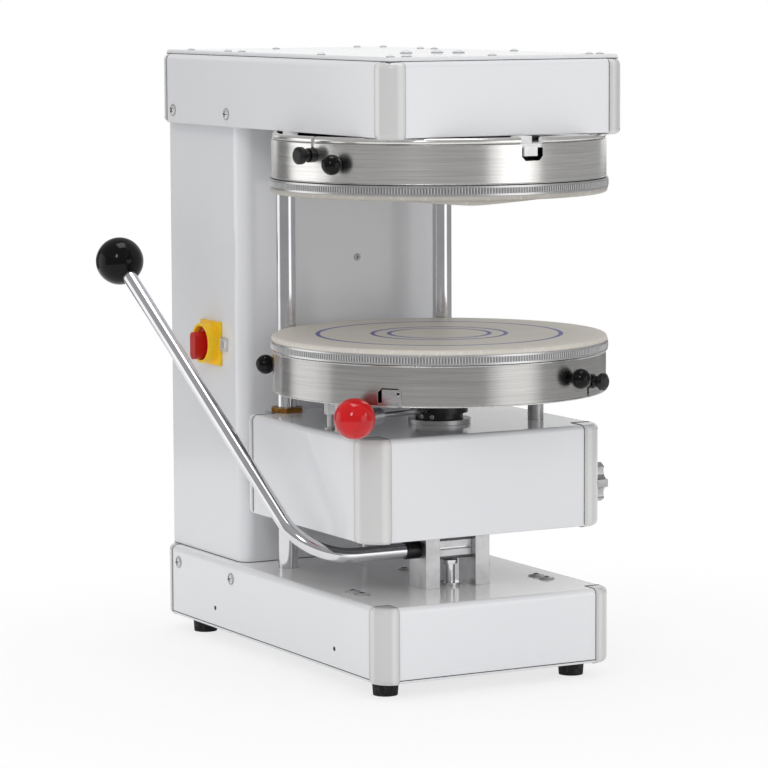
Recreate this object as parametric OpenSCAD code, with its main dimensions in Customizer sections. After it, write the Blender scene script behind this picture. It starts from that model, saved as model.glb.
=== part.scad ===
// Pizza dough press: a side lever lifts the lower plate on a carriage against a motor-turned upper plate.
// Millimetres, +Z up, front towards -Y. The origin is on the floor under the middle of the whole object.

/* [Base] */
// Width of the base housing
base_w = 266; // [255:1:290]
// Depth of the base housing
base_d = 488; // [476:1:540]
// Height of the base housing without its feet
base_h = 74; // [60:1:100]
// Distance from the plate axis to the front of the base
base_front = 118; // [105:1:130]
// Height of a rubber foot
foot_h = 17.3; // [10:0.1:30]
// Largest diameter of a foot
foot_d = 27; // [22:1:36]
// Smallest diameter of a foot
foot_tip_d = 24.5; // [18:0.5:30]
// Distance from the base side to the middle of a foot
foot_inset = 26.5; // [20:0.5:34]
// Distance from the base front to the middle of a front foot
foot_front = 38.5; // [36:0.5:46]
// Distance from the base back to the middle of a rear foot
foot_back = 46.5; // [36:0.5:50]
// Width of the flange folded in at the bottom of the base
base_flange = 62; // [56:1:80]
// Thickness of the chassis plate under the base top
chassis_t = 8; // [5:0.5:14]
// Free margin between the chassis plate and the base sides
chassis_inset = 26; // [24:0.5:28]

/* [Housings] */
// Thickness of the folded sheet
sheet = 2; // [1.5:0.1:2.5]
// Bend radius along the top edges of the housings
edge_r = 6; // [4:0.5:9]
// Radius of the corner trims on the base and the head
trim_r = 21; // [16:0.5:24]
// Radius of the corner trims on the carriage
carriage_trim_r = 26; // [20:0.5:28]
// How far a corner trim stands out from the panels
trim_proud = 1.1; // [0.5:0.1:2]
// How far a corner trim reaches below the panels
trim_drop = 2; // [0.5:0.1:3]
// Rounding of the trim ends
trim_end_r = 6; // [3:0.5:9]

/* [Column] */
// Width of the column cover
column_w = 244; // [230:1:250]
// Depth of the column cover
column_d = 166; // [155:1:180]
// Height of the column from the base to the head
column_h = 454.8; // [440:0.1:500]
// Radius of the front corners of the column
column_r = 14; // [8:1:24]
// How far the column back lies in front of the base back
rear_step = 3; // [0:0.5:8]
// Depth of the back panel's rim in the column
back_panel_t = 2; // [1.5:0.1:3]
// Clear gap of a loose panel or rim
panel_gap = 0.4; // [0.2:0.1:0.8]
// Diameter of the cable gland
gland_d = 20; // [16:0.5:25]
// How far the cable gland stands out
gland_l = 15; // [10:0.5:20]
// Distance of the cable gland from the middle of the back
gland_x = 70; // [40:1:90]
// Height of the cable gland over the base top
gland_rise = 48; // [30:1:80]

/* [Head] */
// Width of the head housing
head_w = 270; // [258:1:290]
// Depth of the head housing
head_d = 504; // [490:1:530]
// Height of the head housing without its lid
head_h = 72.2; // [68:0.1:95]
// Height that the lid adds
lid_h = 4.4; // [4.4:0.1:7]
// Distance from the head side to the lid
lid_inset = 7; // [6:0.5:10]
// Width of the lip that carries the lid, inward from the head side
lid_lip = 18; // [14:0.5:26]
// Rounding of the lid edges
lid_r = 2.2; // [1.8:0.1:2.2]
// Thickness of the lid sheet
lid_sheet = 1.5; // [1.2:0.1:1.7]

/* [Guides] */
// Diameter of a guide column
guide_d = 20; // [16:0.5:22]
// Distance of a guide column from the side of the narrowest housing
guide_inset = 41; // [39:0.5:47]
// Distance of the guide columns in front of the carriage's back
guide_back = 17; // [16.5:0.5:23]
// Diameter across the corners of a bush flange
bush_hex = 36; // [30:0.5:40]
// Thickness of a bush flange
bush_flange_t = 5; // [3:0.5:8]
// Outer diameter of a bush sleeve
bush_d = 26; // [25:0.5:27]
// Length of a bush sleeve under the carriage top
bush_l = 58; // [30:1:80]

/* [Carriage] */
// Width of the carriage housing
carriage_w = 272; // [262:1:290]
// Depth of the carriage housing
carriage_d = 272; // [270:1:290]
// Height of the carriage housing
carriage_h = 101; // [96:0.5:110]
// Gap between the back of the carriage and the column
carriage_back_gap = 28; // [26:1:32]
// Height of the carriage over the base top with the lever at rest
carriage_gap = 61.3; // [58:0.1:70]
// Thickness of the carriage frame under the carriage top
carriage_frame_t = 16; // [10:0.5:20]
// Free margin between the carriage frame and the housing sides
carriage_frame_inset = 29; // [28:0.5:31]
// Diameter of the down-stop screw
stop_d = 5; // [4:0.5:8]
// Distance of the down-stop screw left of the middle plane
stop_x = 19.4; // [16:0.1:24]
// Distance of the down-stop screw in front of the carriage's back
stop_back = 49; // [43:1:55]

/* [Drums] */
// Outer radius of the two skirts
skirt_r = 167; // [160:0.5:176]
// Wall thickness of the skirts
skirt_t = 1.5; // [1:0.1:2.5]
// Height of the upper skirt
upper_skirt_h = 38; // [37:0.5:48]
// Height of the lower skirt
lower_skirt_h = 40.4; // [39:0.1:50]
// Gap between the head and the upper skirt
drum_gap = 7.2; // [5:0.1:10]
// Height of the lower skirt over the carriage top
lower_skirt_lift = 34; // [33:0.5:40]
// Running gap between a skirt and its knurled ring
ring_gap = 0.7; // [0.4:0.1:1.5]
// Outer radius of the knurled rings
ring_r = 168.8; // [161:0.1:178]
// Radial width of the knurled rings
ring_w = 18; // [10:0.5:26]
// Height of the knurled rings
ring_h = 9.5; // [8:0.1:12]
// Height of the press plate's edge outside its ring
rim_h = 5.2; // [4:0.1:8]
// Rounding of the press plate's edge
rim_r = 3.6; // [2:0.1:3.8]
// How far the press plate's edge stays inside its ring
rim_inset = 0.6; // [0.2:0.1:2]
// Height of the ridge across the upper press plate
ridge_h = 4.2; // [2:0.1:6]
// Width of the ridge at its foot
ridge_w = 132; // [80:1:180]
// Direction of the ridge from the front, towards the right
ridge_turn = -18; // [-90:1:90]
// Thickness of a carrier plate
carrier_t = 3.5; // [2.5:0.1:5]
// Diameter of the two posts under the lower carrier
post_d = 16; // [12:0.5:22]
// Distance of a post from the plate axis
post_r = 100; // [90:1:108]
// Side of the small block beside the left post
block_w = 8; // [6:0.5:10]
// Height of that block
block_h = 11; // [8:0.5:14]
// Height of that block's top over the carriage top
block_rise = 26.4; // [22:0.1:30]
// Diameter of that block's stem
block_stem_d = 5; // [4:0.5:6]
// Distance of that block from the plate axis
block_r = 124; // [120:0.5:125]
// Radius of the turning discs behind the knurled rings
disc_r = 154; // [152:0.5:155]
// Thickness of the turning discs
disc_t = 9; // [6:0.5:10]

/* [Drum fittings] */
// Diameter of a black ball knob
knob_d = 20; // [16:0.5:24]
// Distance of a knob's middle from the skirt
knob_reach = 11; // [10:0.5:16]
// Diameter of a knob's stem
knob_stem_d = 9; // [6:0.5:12]
// Height of the lower knobs over the lower skirt's edge
lower_knob_rise = 21.8; // [16:0.1:24]
// Height of the upper knobs over the upper skirt's edge
upper_knob_rise = 18.9; // [14:0.1:24]
// Height of the lower plunger over the lower skirt's edge
lower_plunger_rise = 16.3; // [14:0.1:24]
// Height of the upper plunger over the upper skirt's edge
upper_plunger_rise = 26.8; // [22:0.1:28]
// Diameter of the widest part of a plunger knob
plunger_d = 17; // [14:0.5:20]
// Diameter of a plunger's waist
plunger_neck_d = 11; // [8:0.5:12]
// Distance from the skirt to a plunger's outer end
plunger_l = 20.4; // [18:0.1:26]
// Diameter of a plunger's bush
plunger_bush_d = 14; // [12:0.5:17]
// Length of a plunger's bush
plunger_bush_l = 6; // [4:0.5:8]
// Diameter of a plunger's pin
plunger_pin_d = 6; // [4:0.5:8]
// Width of the slot that leads a skirt over its plunger
plunger_slot_w = 4; // [2:0.5:5]
// Width of the windows in the skirts
window_w = 24; // [18:0.5:30]
// Height of the windows in the skirts
window_h = 16; // [12:0.5:17]
// Bevel of the window corners
window_bevel = 4; // [2:0.5:6]
// Strip of skirt left under the lower windows
window_strip = 2.4; // [1.5:0.1:4]
// Width of the notch beside a lower window
notch_w = 4; // [3:0.5:6]
// Width of the carrier's tab in an upper window
tab_w = 15; // [10:0.5:17]
// Height of the carrier's tab in an upper window
tab_h = 11.5; // [6:0.5:12]
// Width of the carrier's tab in a lower window
lower_tab_w = 20; // [14:0.5:21]
// Height of the carrier's tab in a lower window
lower_tab_h = 16.6; // [10:0.1:17]
// Width of the lug that a plunger locks into
lug_w = 20; // [14:0.5:26]
// Thickness of that lug
lug_t = 3; // [2:0.5:4]
// Free radial distance between that lug and the skirt
lug_gap = 5; // [4:0.1:6]

/* [Lever] */
// Diameter of the lever rod and its shaft
rod_d = 15; // [12:0.5:16]
// Bend radius of the lever rod
bend_r = 58; // [50:1:64]
// How much thicker the rod is in its bend
bend_over = 0.1; // [0.06:0.02:0.2]
// Distance from the middle plane to the corner of the lever
lever_x = 161; // [156:1:170]
// Length of the lever arm from that corner to its ball
lever_l = 438; // [380:1:470]
// Outward lean of the lever arm
lever_lean = 5.7; // [4.5:0.1:9]
// Angle of the resting lever arm over level
lever_rise = 38.8; // [34:0.1:42]
// Angle that the lever swings through
lever_sweep = 92; // [80:1:94]
// Diameter of the lever ball
lever_ball_d = 50; // [40:1:60]
// Height of the lever shaft over the base top
shaft_rise = 38.5; // [36:0.1:42]
// Distance of the lever shaft in front of the plate axis
shaft_front = 20; // [16:0.5:24]
// Diameter of the black boss on the shaft
boss_d = 18; // [17.5:0.1:24]
// Length of the black boss
boss_l = 15; // [8:0.5:22]
// Gap between the two pillars
pillar_gap = 41; // [38:0.5:46]
// Width of a pillar
pillar_w = 16; // [12:0.5:20]
// Depth of a pillar
pillar_d = 34; // [28:0.5:40]
// Height of a pillar over the shaft axis
pillar_over = 20.5; // [16:0.5:21.5]
// Rounding of a pillar's top edges
pillar_r = 6; // [3:0.5:9]
// Diameter of the steady post's foot
steady_foot_d = 22; // [18:0.5:30]
// Diameter of the steady post's stem
steady_d = 11; // [9:0.5:14]
// Diameter of the steady post's cap
steady_cap_d = 16.5; // [14.5:0.5:18]
// Height of the steady post's foot
steady_foot_h = 3; // [2:0.5:4]
// Height of the steady post's cap
steady_cap_h = 4; // [3:0.5:5]

/* [Lift cam] */
// Distance from the shaft to the follower roller with the lever at rest
cam_r = 58; // [54:0.5:60]
// Thickness of the cam plate
cam_t = 14; // [10:0.5:16]
// Diameter of the cam's clamp hub
cam_hub_d = 24.6; // [22:0.1:25]
// Depth of the flat on the front of the clamp hub
cam_flat = 2.7; // [1:0.1:3.5]
// Width of the split in the clamp hub
cam_split = 2.4; // [1:0.1:4]
// Angle of cam before the resting contact
cam_lead = 8; // [4:1:10]
// Angle of cam past the last contact
cam_lag = 1.5; // [1:0.1:2]
// Angle of the cam's blunt tip
cam_tip = 2; // [1.5:0.1:2.5]
// Diameter of the follower roller
roller_d = 28; // [24:0.5:32]
// Diameter of the follower pin
roller_pin_d = 10; // [8:0.5:12]
// Thickness of a clevis cheek
cheek_t = 8; // [5:0.5:10]
// Width of a clevis cheek
cheek_w = 26; // [22:0.5:30]

/* [Thickness lever] */
// Diameter of the black hub collar
hub_d = 57.5; // [54:0.5:62]
// Diameter of the black collar's neck
collar_neck_d = 48; // [46:0.5:52]
// Height of the black collar's neck
collar_neck_h = 6; // [4:0.5:7]
// Height of the black collar with its neck
collar_h = 22.5; // [21:0.1:23]
// Diameter of the grey ring under the collar
hub_ring_d = 63; // [58:0.5:66]
// Height of the grey ring under the collar
hub_ring_h = 4.5; // [3:0.5:6]
// Outer diameter of the lower sleeve
sleeve_d = 40; // [36:0.5:44]
// Diameter of the lower spindle
spindle_d = 24; // [20:0.5:26]
// Height that the collar's thread lifts in one turn
thread_lift = 12; // [6:0.5:12]
// Angle that the red-ball rod swings through
thickness_sweep = 50; // [30:1:50]
// Diameter of the red ball
red_ball_d = 40; // [34:0.5:41]
// Diameter of the red-ball rod
red_rod_d = 6; // [5:0.5:8]
// Diameter of the red-ball rod's ferrule
ferrule_d = 17; // [12:0.5:18]
// Length of that ferrule
ferrule_l = 50; // [24:0.5:54]
// Gap between the red ball and the skirt
red_ball_gap = 2; // [1.5:0.1:4]
// Height of the red ball's middle over the carriage top
red_ball_rise = 24.4; // [23.5:0.1:25]
// Upward slope of the red-ball rod
red_slope = 3.3; // [3:0.1:4]
// Direction of the red-ball rod from the front, towards the right
red_turn = -55; // [-60:1:-45]
// Outer diameter of the lower bearing
bearing_d = 62; // [58:0.5:64]
// Height of the lower bearing
bearing_h = 8; // [6:0.5:9]

/* [Star knob] */
// Diameter of the star knob
star_d = 42; // [36:0.5:50]
// Thickness of the star knob
star_t = 12; // [8:0.5:16]
// Number of lobes of the star knob
star_lobes = 6; // [5:1:8]
// Diameter of the hollows between its lobes
star_hollow_d = 15; // [9:0.5:16]
// Diameter of its threaded stud
star_stud_d = 10; // [8:0.5:12]
// Length of its stud inside the carriage
star_stud_l = 22; // [12:0.5:22]
// Distance of the star knob behind the carriage's front
star_back = 44; // [39:0.5:54]
// Height of the star knob over the carriage's lower edge
star_rise = 37.5; // [30:0.5:60]
// Length of its neck
star_neck_l = 4; // [2:0.5:8]

/* [Switch] */
// Side of the yellow switch plate
switch_w = 46; // [40:0.5:50]
// Thickness of the yellow switch plate
switch_t = 3; // [2:0.5:4]
// Diameter of the yellow collar
switch_collar_d = 42; // [40:0.5:44]
// Height of the yellow collar
switch_collar_h = 11.5; // [11:0.5:14]
// Depth of the recess in the yellow collar
switch_recess = 9; // [6:0.5:10]
// Diameter of the red knob
switch_knob_d = 35; // [30:0.5:36]
// Height of the red knob over the recess
switch_knob_h = 17.8; // [12:0.1:20]
// Width of the red knob's grip
switch_grip_w = 12; // [8:0.5:14]
// Height of the switch over the base top
switch_rise = 226; // [180:1:260]
// Distance of the switch behind the column front
switch_back = 67; // [50:1:75]
// Depth of the switch body inside the column
switch_body_d = 42; // [30:1:50]
// Side of the switch body
switch_body_w = 40; // [34:1:44]
// Diameter of the switch spindle
switch_spindle_d = 8; // [6:0.5:10]
// Thickness of the clear padlock tab
lock_tab_t = 2; // [1.5:0.5:3]
// Width of the clear padlock tab
lock_tab_w = 14; // [10:0.5:18]

/* [Drive] */
// Diameter of the upper spindle
upper_spindle_d = 30; // [24:0.5:34]
// Outer diameter of the spindle bearings
spindle_bearing_d = 47; // [42:0.5:52]
// Height of a spindle bearing
spindle_bearing_h = 9; // [7:0.5:9.5]
// Outer diameter of the spindle housing
housing_d = 76; // [66:1:90]
// Height of the spindle housing
housing_h = 26; // [24:0.5:28]
// Thickness of the head frame plate
head_frame_t = 8; // [6:0.5:9]
// Diameter of the two belt pulleys
pulley_d = 84; // [60:1:90]
// Height of a belt pulley
pulley_h = 18; // [14:0.5:20]
// Height of a pulley's flanges
pulley_flange_t = 2; // [1.5:0.5:3]
// How far a pulley's flanges stand out past the belt seat
pulley_flange_out = 5; // [3:0.5:7]
// Thickness of the drive belt
belt_t = 4; // [3:0.5:5]
// Diameter of the gear motor
motor_d = 112; // [90:1:126]
// Length of the gear motor
motor_l = 190; // [150:1:240]
// Diameter of the motor shaft
motor_shaft_d = 19; // [14:0.5:24]
// Thickness of the motor flange
motor_flange_t = 8; // [5:0.5:10]

/* [Fits] */
// Radial clearance of a turning or sliding fit
run_fit = 0.05; // [0.02:0.01:0.08]
// Clear gap between pieces that pass without touching
seat_gap = 0.3; // [0.2:0.05:0.4]
// Gap left between the plates at the end of the lift
closed_gap = 1.4; // [1:0.1:3]

/* [Hidden] */
$fn = 64;
// One overrun for every cut
overrun = 1;
panel_color = [0.86, 0.865, 0.875];
trim_color = [0.77, 0.775, 0.765];
steel_color = [0.72, 0.72, 0.73];
dark_color = [0.06, 0.06, 0.065];
cream_color = [0.84, 0.81, 0.75];
bronze_color = [0.6, 0.42, 0.2];
red_color = [0.8, 0.1, 0.1];
yellow_color = [0.92, 0.72, 0.1];
base_y0 = -base_front;
base_y1 = base_y0 + base_d;
base_mid = (base_y0 + base_y1) / 2;
base_top = foot_h + base_h;
column_y1 = base_y1 - rear_step;
column_y0 = column_y1 - column_d;
column_mid = (column_y0 + column_y1) / 2;
head_z = base_top + column_h;
head_top = head_z + head_h;
head_mid = column_y1 - head_d / 2;
carriage_z = base_top + carriage_gap;
carriage_top = carriage_z + carriage_h;
carriage_y1 = column_y0 - carriage_back_gap;
carriage_front = carriage_d - carriage_y1;
carriage_mid = carriage_d / 2 - carriage_front;
guide_x = min(base_w, carriage_w, head_w) / 2 - guide_inset;
guide_y = carriage_y1 - guide_back;
stop_y = carriage_y1 - stop_back;
frame_z = carriage_top - sheet - carriage_frame_t;
chassis_z = base_top - sheet - chassis_t;
shaft_z = base_top + shaft_rise;
shaft_y = -shaft_front;
upper_skirt_top = head_z - drum_gap;
upper_skirt_z = upper_skirt_top - upper_skirt_h;
upper_ring_top = upper_skirt_z - ring_gap;
upper_ring_z = upper_ring_top - ring_h;
upper_rim_z = upper_ring_z - rim_h;
lower_skirt_z = carriage_top + lower_skirt_lift;
lower_skirt_top = lower_skirt_z + lower_skirt_h;
lower_ring_z = lower_skirt_top + ring_gap;
lower_ring_top = lower_ring_z + ring_h;
lower_plate_top = lower_ring_top + rim_h;
upper_carrier_z = upper_skirt_top - carrier_t;
lower_carrier_z = lower_skirt_z + seat_gap;
carrier_r = skirt_r - skirt_t - seat_gap;
lug_r = skirt_r - skirt_t - lug_gap;
thickness_lift = thread_lift * thickness_sweep / 360;
lift = upper_rim_z - ridge_h - lower_plate_top - thickness_lift - closed_gap;
cam_k = lift / (lever_sweep * PI / 180);
roller_z = shaft_z + cam_r;
roller_w = cam_t;
ring_core_r = ring_r - ring_w;
knob_r = skirt_r + knob_reach;
collar_z = carriage_top + hub_ring_h + seat_gap;
sleeve_flange_z = collar_z + collar_h + seat_gap;
sleeve_flange_t = lower_carrier_z + carrier_t - sleeve_flange_z;
bearing_z = sleeve_flange_z + sleeve_flange_t;
turntable_z = bearing_z + bearing_h + seat_gap;
disc_z = lower_ring_z - disc_t;
lug_over_shares = [1.3, 0.9];
red_r = skirt_r + red_ball_gap + red_ball_d / 2;
red_z = carriage_top + red_ball_rise;
frame_top = head_z + sheet + head_frame_t;
housing_top = frame_top + housing_h;
pulley_z = housing_top + seat_gap;
motor_y = column_mid;
switch_z = base_top + switch_rise;
switch_y = column_y0 + switch_back;
star_y = star_back - carriage_front;
star_z = carriage_z + star_rise;
lever_turn = 90 - lever_lean;
bend_cut = bend_r * tan(lever_turn / 2);
bend_x = lever_x - bend_cut;
upper_knob_turns = [-64.7, 87];
lower_knob_turns = [21.2, -128.8];
upper_plunger_turn = -76.4;
lower_plunger_turn = 31.4;
upper_window_turns = [3.1, 123.1, 243.1];
lower_window_turns = [-46.1, 73.9, 193.9];
post_turns = [73.8, -106.2];
block_turn = -90.5;
tab_side_share = 0.13;
grip_share = 0.96;
knob_disc_share = 0.2;
grip_end_shares = [0.31, 0.17];
ball_socket_share = 0.32;
knob_waist_shares = [0.28, 0.55, 0.85];
left_reach = lever_x + lever_l * sin(lever_lean) + lever_ball_d / 2;
right_reach = knob_r + knob_d / 2;
front_reach = knob_r * cos(lower_knob_turns[0]) + knob_d / 2;
back_reach = column_y1 + gland_l;
mid_x = (left_reach - right_reach) / 2;
mid_y = (front_reach - back_reach) / 2;

// Move a piece from the machine frame (plate axis at the origin) to the frame of the part
module placed() {
  translate([mid_x, mid_y, 0]) children();
}

// Turn to a direction round the plate axis: 0 is the front, +90 the right; outward becomes -Y
module facing(turn, z) {
  translate([0, 0, z]) rotate([0, 0, turn]) children();
}

// A bar along local -Y from radius r0 to radius r1
module radial_bar(r0, r1, d) {
  translate([0, -r0, 0]) rotate([90, 0, 0]) cylinder(d = d, h = r1 - r0);
}

// Rectangle on the X axis with two rounded top corners
module crowned_outline(w, h, r) {
  translate([-w / 2, 0]) square([w, h - r]);
  translate([-w / 2 + r, 0]) square([w - 2 * r, h]);
  for (side = [-1, 1]) translate([side * (w / 2 - r), h - r]) circle(r = r);
}

// Box with rounded edges round its top
module crowned_box(w, d, h, r) {
  intersection() {
    rotate([90, 0, 0]) linear_extrude(d, center = true) crowned_outline(w, h, r);
    rotate([90, 0, 90]) linear_extrude(w, center = true) crowned_outline(d, h, r);
  }
}

// Square cuts at the four upright corners of a box
module corner_cuts(w, d, h, r) {
  for (x = [-1, 1]) for (y = [-1, 1])
    translate([x * (w - r + overrun) / 2, y * (d - r + overrun) / 2, h / 2])
      cube([r + overrun, r + overrun, h + 2 * overrun], center = true);
}

// Quarter-round trims with rounded ends at the four upright corners of a box
module corner_trims(w, d, h, r, back_drop) {
  out = r + trim_proud;
  for (i = [0 : 3]) {
    x = (i == 0 || i == 3) ? 1 : -1;
    y = (i < 2) ? 1 : -1;
    drop = (i < 2) ? back_drop : trim_drop;
    long = h + drop;
    translate([x * (w / 2 - r), y * (d / 2 - r), -drop]) rotate([0, 0, 90 * i]) rotate_extrude(angle = 90) {
      square([out - trim_end_r, long]);
      translate([0, trim_end_r]) square([out, long - 2 * trim_end_r]);
      translate([out - trim_end_r, trim_end_r]) circle(r = trim_end_r);
      translate([out - trim_end_r, long - trim_end_r]) circle(r = trim_end_r);
    }
  }
}

// Ring of rectangular section round the plate axis
module ring(r_out, r_in, z0, z1) {
  rotate_extrude() translate([r_in, z0]) square([r_out - r_in, z1 - z0]);
}

// Window outline, open or closed at its lower edge, with bevelled upper corners
module window_cut(turn, z0, z1) {
  half = window_w / 2;
  facing(turn, 0) translate([0, -skirt_r, 0]) rotate([90, 0, 0])
    linear_extrude(4 * lug_gap, center = true)
      polygon([[-half, z0], [half, z0], [half, z1 - window_bevel], [half - window_bevel, z1],
        [-half + window_bevel, z1], [-half, z1 - window_bevel]]);
}

// Pull knob of a plunger, in the direction of local -Y, with its pin through the bush
module plunger() {
  start = plunger_bush_l + 2 * seat_gap;
  long = plunger_l - start;
  waist = start + long * knob_waist_shares[0];
  flare = start + long * knob_waist_shares[1];
  brow = start + long * knob_waist_shares[2];
  radial_bar(lug_r - lug_t - seat_gap, skirt_r + start + overrun, plunger_pin_d);
  translate([0, -skirt_r, 0]) rotate([90, 0, 0]) rotate_extrude()
    polygon([[0, start], [plunger_neck_d / 2, start], [plunger_neck_d / 2, waist], [plunger_d / 2, flare],
      [plunger_d / 2, brow], [plunger_neck_d / 2, plunger_l], [0, plunger_l]]);
}

module plunger_bush() {
  difference() {
    radial_bar(skirt_r + seat_gap, skirt_r + plunger_bush_l, plunger_bush_d);
    radial_bar(skirt_r, skirt_r + plunger_bush_l + overrun, plunger_pin_d + 2 * run_fit);
  }
}

module ball_knobs(turns, z) {
  for (turn = turns) facing(turn, z) {
    translate([0, -knob_r, 0]) sphere(d = knob_d);
    radial_bar(skirt_r + seat_gap, knob_r, knob_stem_d);
  }
}

module pulley_body() {
  flange_r = pulley_d / 2 + pulley_flange_out;
  rotate_extrude() {
    square([pulley_d / 2, pulley_h]);
    square([flange_r, pulley_flange_t]);
    translate([0, pulley_h - pulley_flange_t]) square([flange_r, pulley_flange_t]);
  }
}

module base_shell() color(panel_color) placed() translate([0, base_mid, foot_h]) difference() {
  crowned_box(base_w, base_d, base_h, edge_r);
  translate([0, 0, sheet])
    crowned_box(base_w - 2 * sheet, base_d - 2 * sheet, base_h - 2 * sheet, edge_r - sheet);
  cube([base_w - 2 * base_flange, base_d - 2 * base_flange, 4 * sheet], center = true);
  corner_cuts(base_w, base_d, base_h, trim_r);
  for (x = [-1, 1]) translate([x * guide_x, guide_y - base_mid, base_h / 2])
    cylinder(d = guide_d + 2 * seat_gap, h = base_h);
}

module base_chassis() color(steel_color) placed() difference() {
  translate([-base_w / 2 + chassis_inset, base_y0 + 2 * chassis_inset, chassis_z])
    cube([base_w - 2 * chassis_inset, base_d - 3 * chassis_inset, chassis_t]);
  for (x = [-1, 1]) translate([x * guide_x, guide_y, chassis_z - overrun])
    cylinder(d = guide_d + 2 * run_fit, h = chassis_t + 2 * overrun);
}

module base_corner_trims() color(trim_color) placed() translate([0, base_mid, foot_h])
  corner_trims(base_w, base_d, base_h, trim_r, trim_drop);

module rubber_feet() color(dark_color) placed()
  for (x = [-1, 1]) for (y = [base_y0 + foot_front, base_y1 - foot_back])
    translate([x * (base_w / 2 - foot_inset), y, 0])
      rotate_extrude() polygon([[0, 0], [foot_tip_d / 2, 0], [foot_d / 2, foot_h], [0, foot_h]]);

// Column outline in plan: square at the back, round at the front
module column_outline(w, d, r) {
  translate([-w / 2, r]) square([w, d - r]);
  translate([-w / 2 + r, 0]) square([w - 2 * r, d]);
  for (side = [-1, 1]) translate([side * (w / 2 - r), r]) circle(r = r);
}

module column_cover() color(panel_color) placed() translate([0, column_y0, base_top]) difference() {
  linear_extrude(column_h) column_outline(column_w, column_d, column_r);
  translate([0, sheet, -overrun]) linear_extrude(column_h + 2 * overrun)
    column_outline(column_w - 2 * sheet, column_d, column_r - sheet);
  translate([-column_w / 2, switch_back, switch_rise]) rotate([0, 90, 0])
    cylinder(d = switch_spindle_d + 4 * seat_gap, h = 4 * sheet, center = true);
}

module column_back_panel() color(panel_color) placed() difference() {
  translate([-column_w / 2 + sheet + panel_gap, column_y1 - back_panel_t, base_top])
    cube([column_w - 2 * sheet - 2 * panel_gap, back_panel_t, column_h]);
  translate([gland_x, column_y1, base_top + gland_rise]) rotate([90, 0, 0])
    cylinder(d = gland_d / 2 + 2 * seat_gap, h = 4 * back_panel_t, center = true);
}

module cable_gland() color(dark_color) placed()
  translate([gland_x, column_y1, base_top + gland_rise]) rotate([-90, 0, 0]) difference() {
    union() {
      cylinder(d = gland_d * 1.2, h = gland_l / 3, $fn = 6);
      cylinder(d = gland_d, h = gland_l);
      translate([0, 0, -2 * back_panel_t]) cylinder(d = gland_d / 2, h = 2 * back_panel_t);
    }
    translate([0, 0, gland_l / 2]) cylinder(d = gland_d / 2, h = gland_l);
  }

module guide_columns() color(steel_color) placed() for (x = [-1, 1])
  translate([x * guide_x, guide_y, chassis_z]) cylinder(d = guide_d, h = frame_top - chassis_z);

module head_shell() color(panel_color) placed() translate([0, head_mid, head_z]) difference() {
  crowned_box(head_w, head_d, head_h, edge_r);
  translate([0, 0, sheet])
    crowned_box(head_w - 2 * sheet, head_d - 2 * sheet, head_h - 2 * sheet, edge_r - sheet);
  translate([0, 0, head_h]) cube([head_w - 2 * lid_lip, head_d - 2 * lid_lip, 4 * sheet], center = true);
  corner_cuts(head_w, head_d, head_h, trim_r);
  translate([0, -head_mid, -overrun]) cylinder(d = spindle_bearing_d, h = 2 * sheet);
  translate([0, motor_y - head_mid, -overrun]) cylinder(d = 2 * motor_shaft_d, h = 2 * sheet);
  for (x = [-1, 1]) translate([x * guide_x, guide_y - head_mid, -overrun])
    cylinder(d = guide_d + 2 * seat_gap, h = 2 * sheet);
}

module head_lid() color(panel_color) placed() translate([0, head_mid, head_top]) difference() {
  crowned_box(head_w - 2 * lid_inset, head_d - 2 * lid_inset, lid_h, lid_r);
  translate([0, 0, -lid_sheet])
    crowned_box(head_w - 2 * lid_inset - 2 * lid_sheet, head_d - 2 * lid_inset - 2 * lid_sheet, lid_h,
      lid_r - lid_sheet);
}

module head_corner_trims() color(trim_color) placed() translate([0, head_mid, head_z])
  corner_trims(head_w, head_d, head_h - seat_gap, trim_r, 0);

// Plate on the head floor with the boss that houses the spindle bearings
module head_frame() color(steel_color) placed() difference() {
  union() {
    translate([-guide_x - guide_d, -housing_d, head_z + sheet])
      cube([2 * guide_x + 2 * guide_d, column_y1 + housing_d - 2 * trim_r, head_frame_t]);
    translate([0, 0, frame_top - overrun]) cylinder(d = housing_d, h = housing_h + overrun);
  }
  translate([0, 0, head_z]) cylinder(d = spindle_bearing_d - 4 * sheet, h = housing_top);
  translate([0, 0, frame_top]) cylinder(d = spindle_bearing_d + 2 * run_fit, h = housing_h + overrun);
  translate([0, motor_y, head_z]) cylinder(d = 2 * motor_shaft_d, h = 4 * head_frame_t);
  for (x = [-1, 1]) translate([x * guide_x, guide_y, head_z])
    cylinder(d = guide_d + 2 * run_fit, h = 4 * head_frame_t);
}

module spindle_bearings() color(steel_color) placed()
  for (z = [frame_top, housing_top - spindle_bearing_h])
    ring(spindle_bearing_d / 2, upper_spindle_d / 2 + run_fit, z, z + spindle_bearing_h);

module gear_motor() color(dark_color) placed() translate([0, motor_y, head_z]) difference() {
  union() {
    translate([0, 0, -motor_flange_t]) cylinder(d = motor_d + 2 * motor_flange_t, h = motor_flange_t);
    translate([0, 0, -motor_l]) cylinder(d = motor_d, h = motor_l);
  }
  translate([0, 0, -motor_l / 2]) cylinder(d = motor_shaft_d + 2 * run_fit, h = motor_l);
}

// Loop round two equal pulleys
module belt_outline(r) {
  circle(r = r);
  translate([0, motor_y]) circle(r = r);
  translate([-r, 0]) square([2 * r, motor_y]);
}

module drive_belt() color(dark_color) placed()
  translate([0, 0, pulley_z + pulley_flange_t + seat_gap])
    linear_extrude(pulley_h - 2 * pulley_flange_t - 2 * seat_gap) difference() {
      belt_outline(pulley_d / 2 + seat_gap + belt_t);
      belt_outline(pulley_d / 2 + seat_gap);
    }

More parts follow.
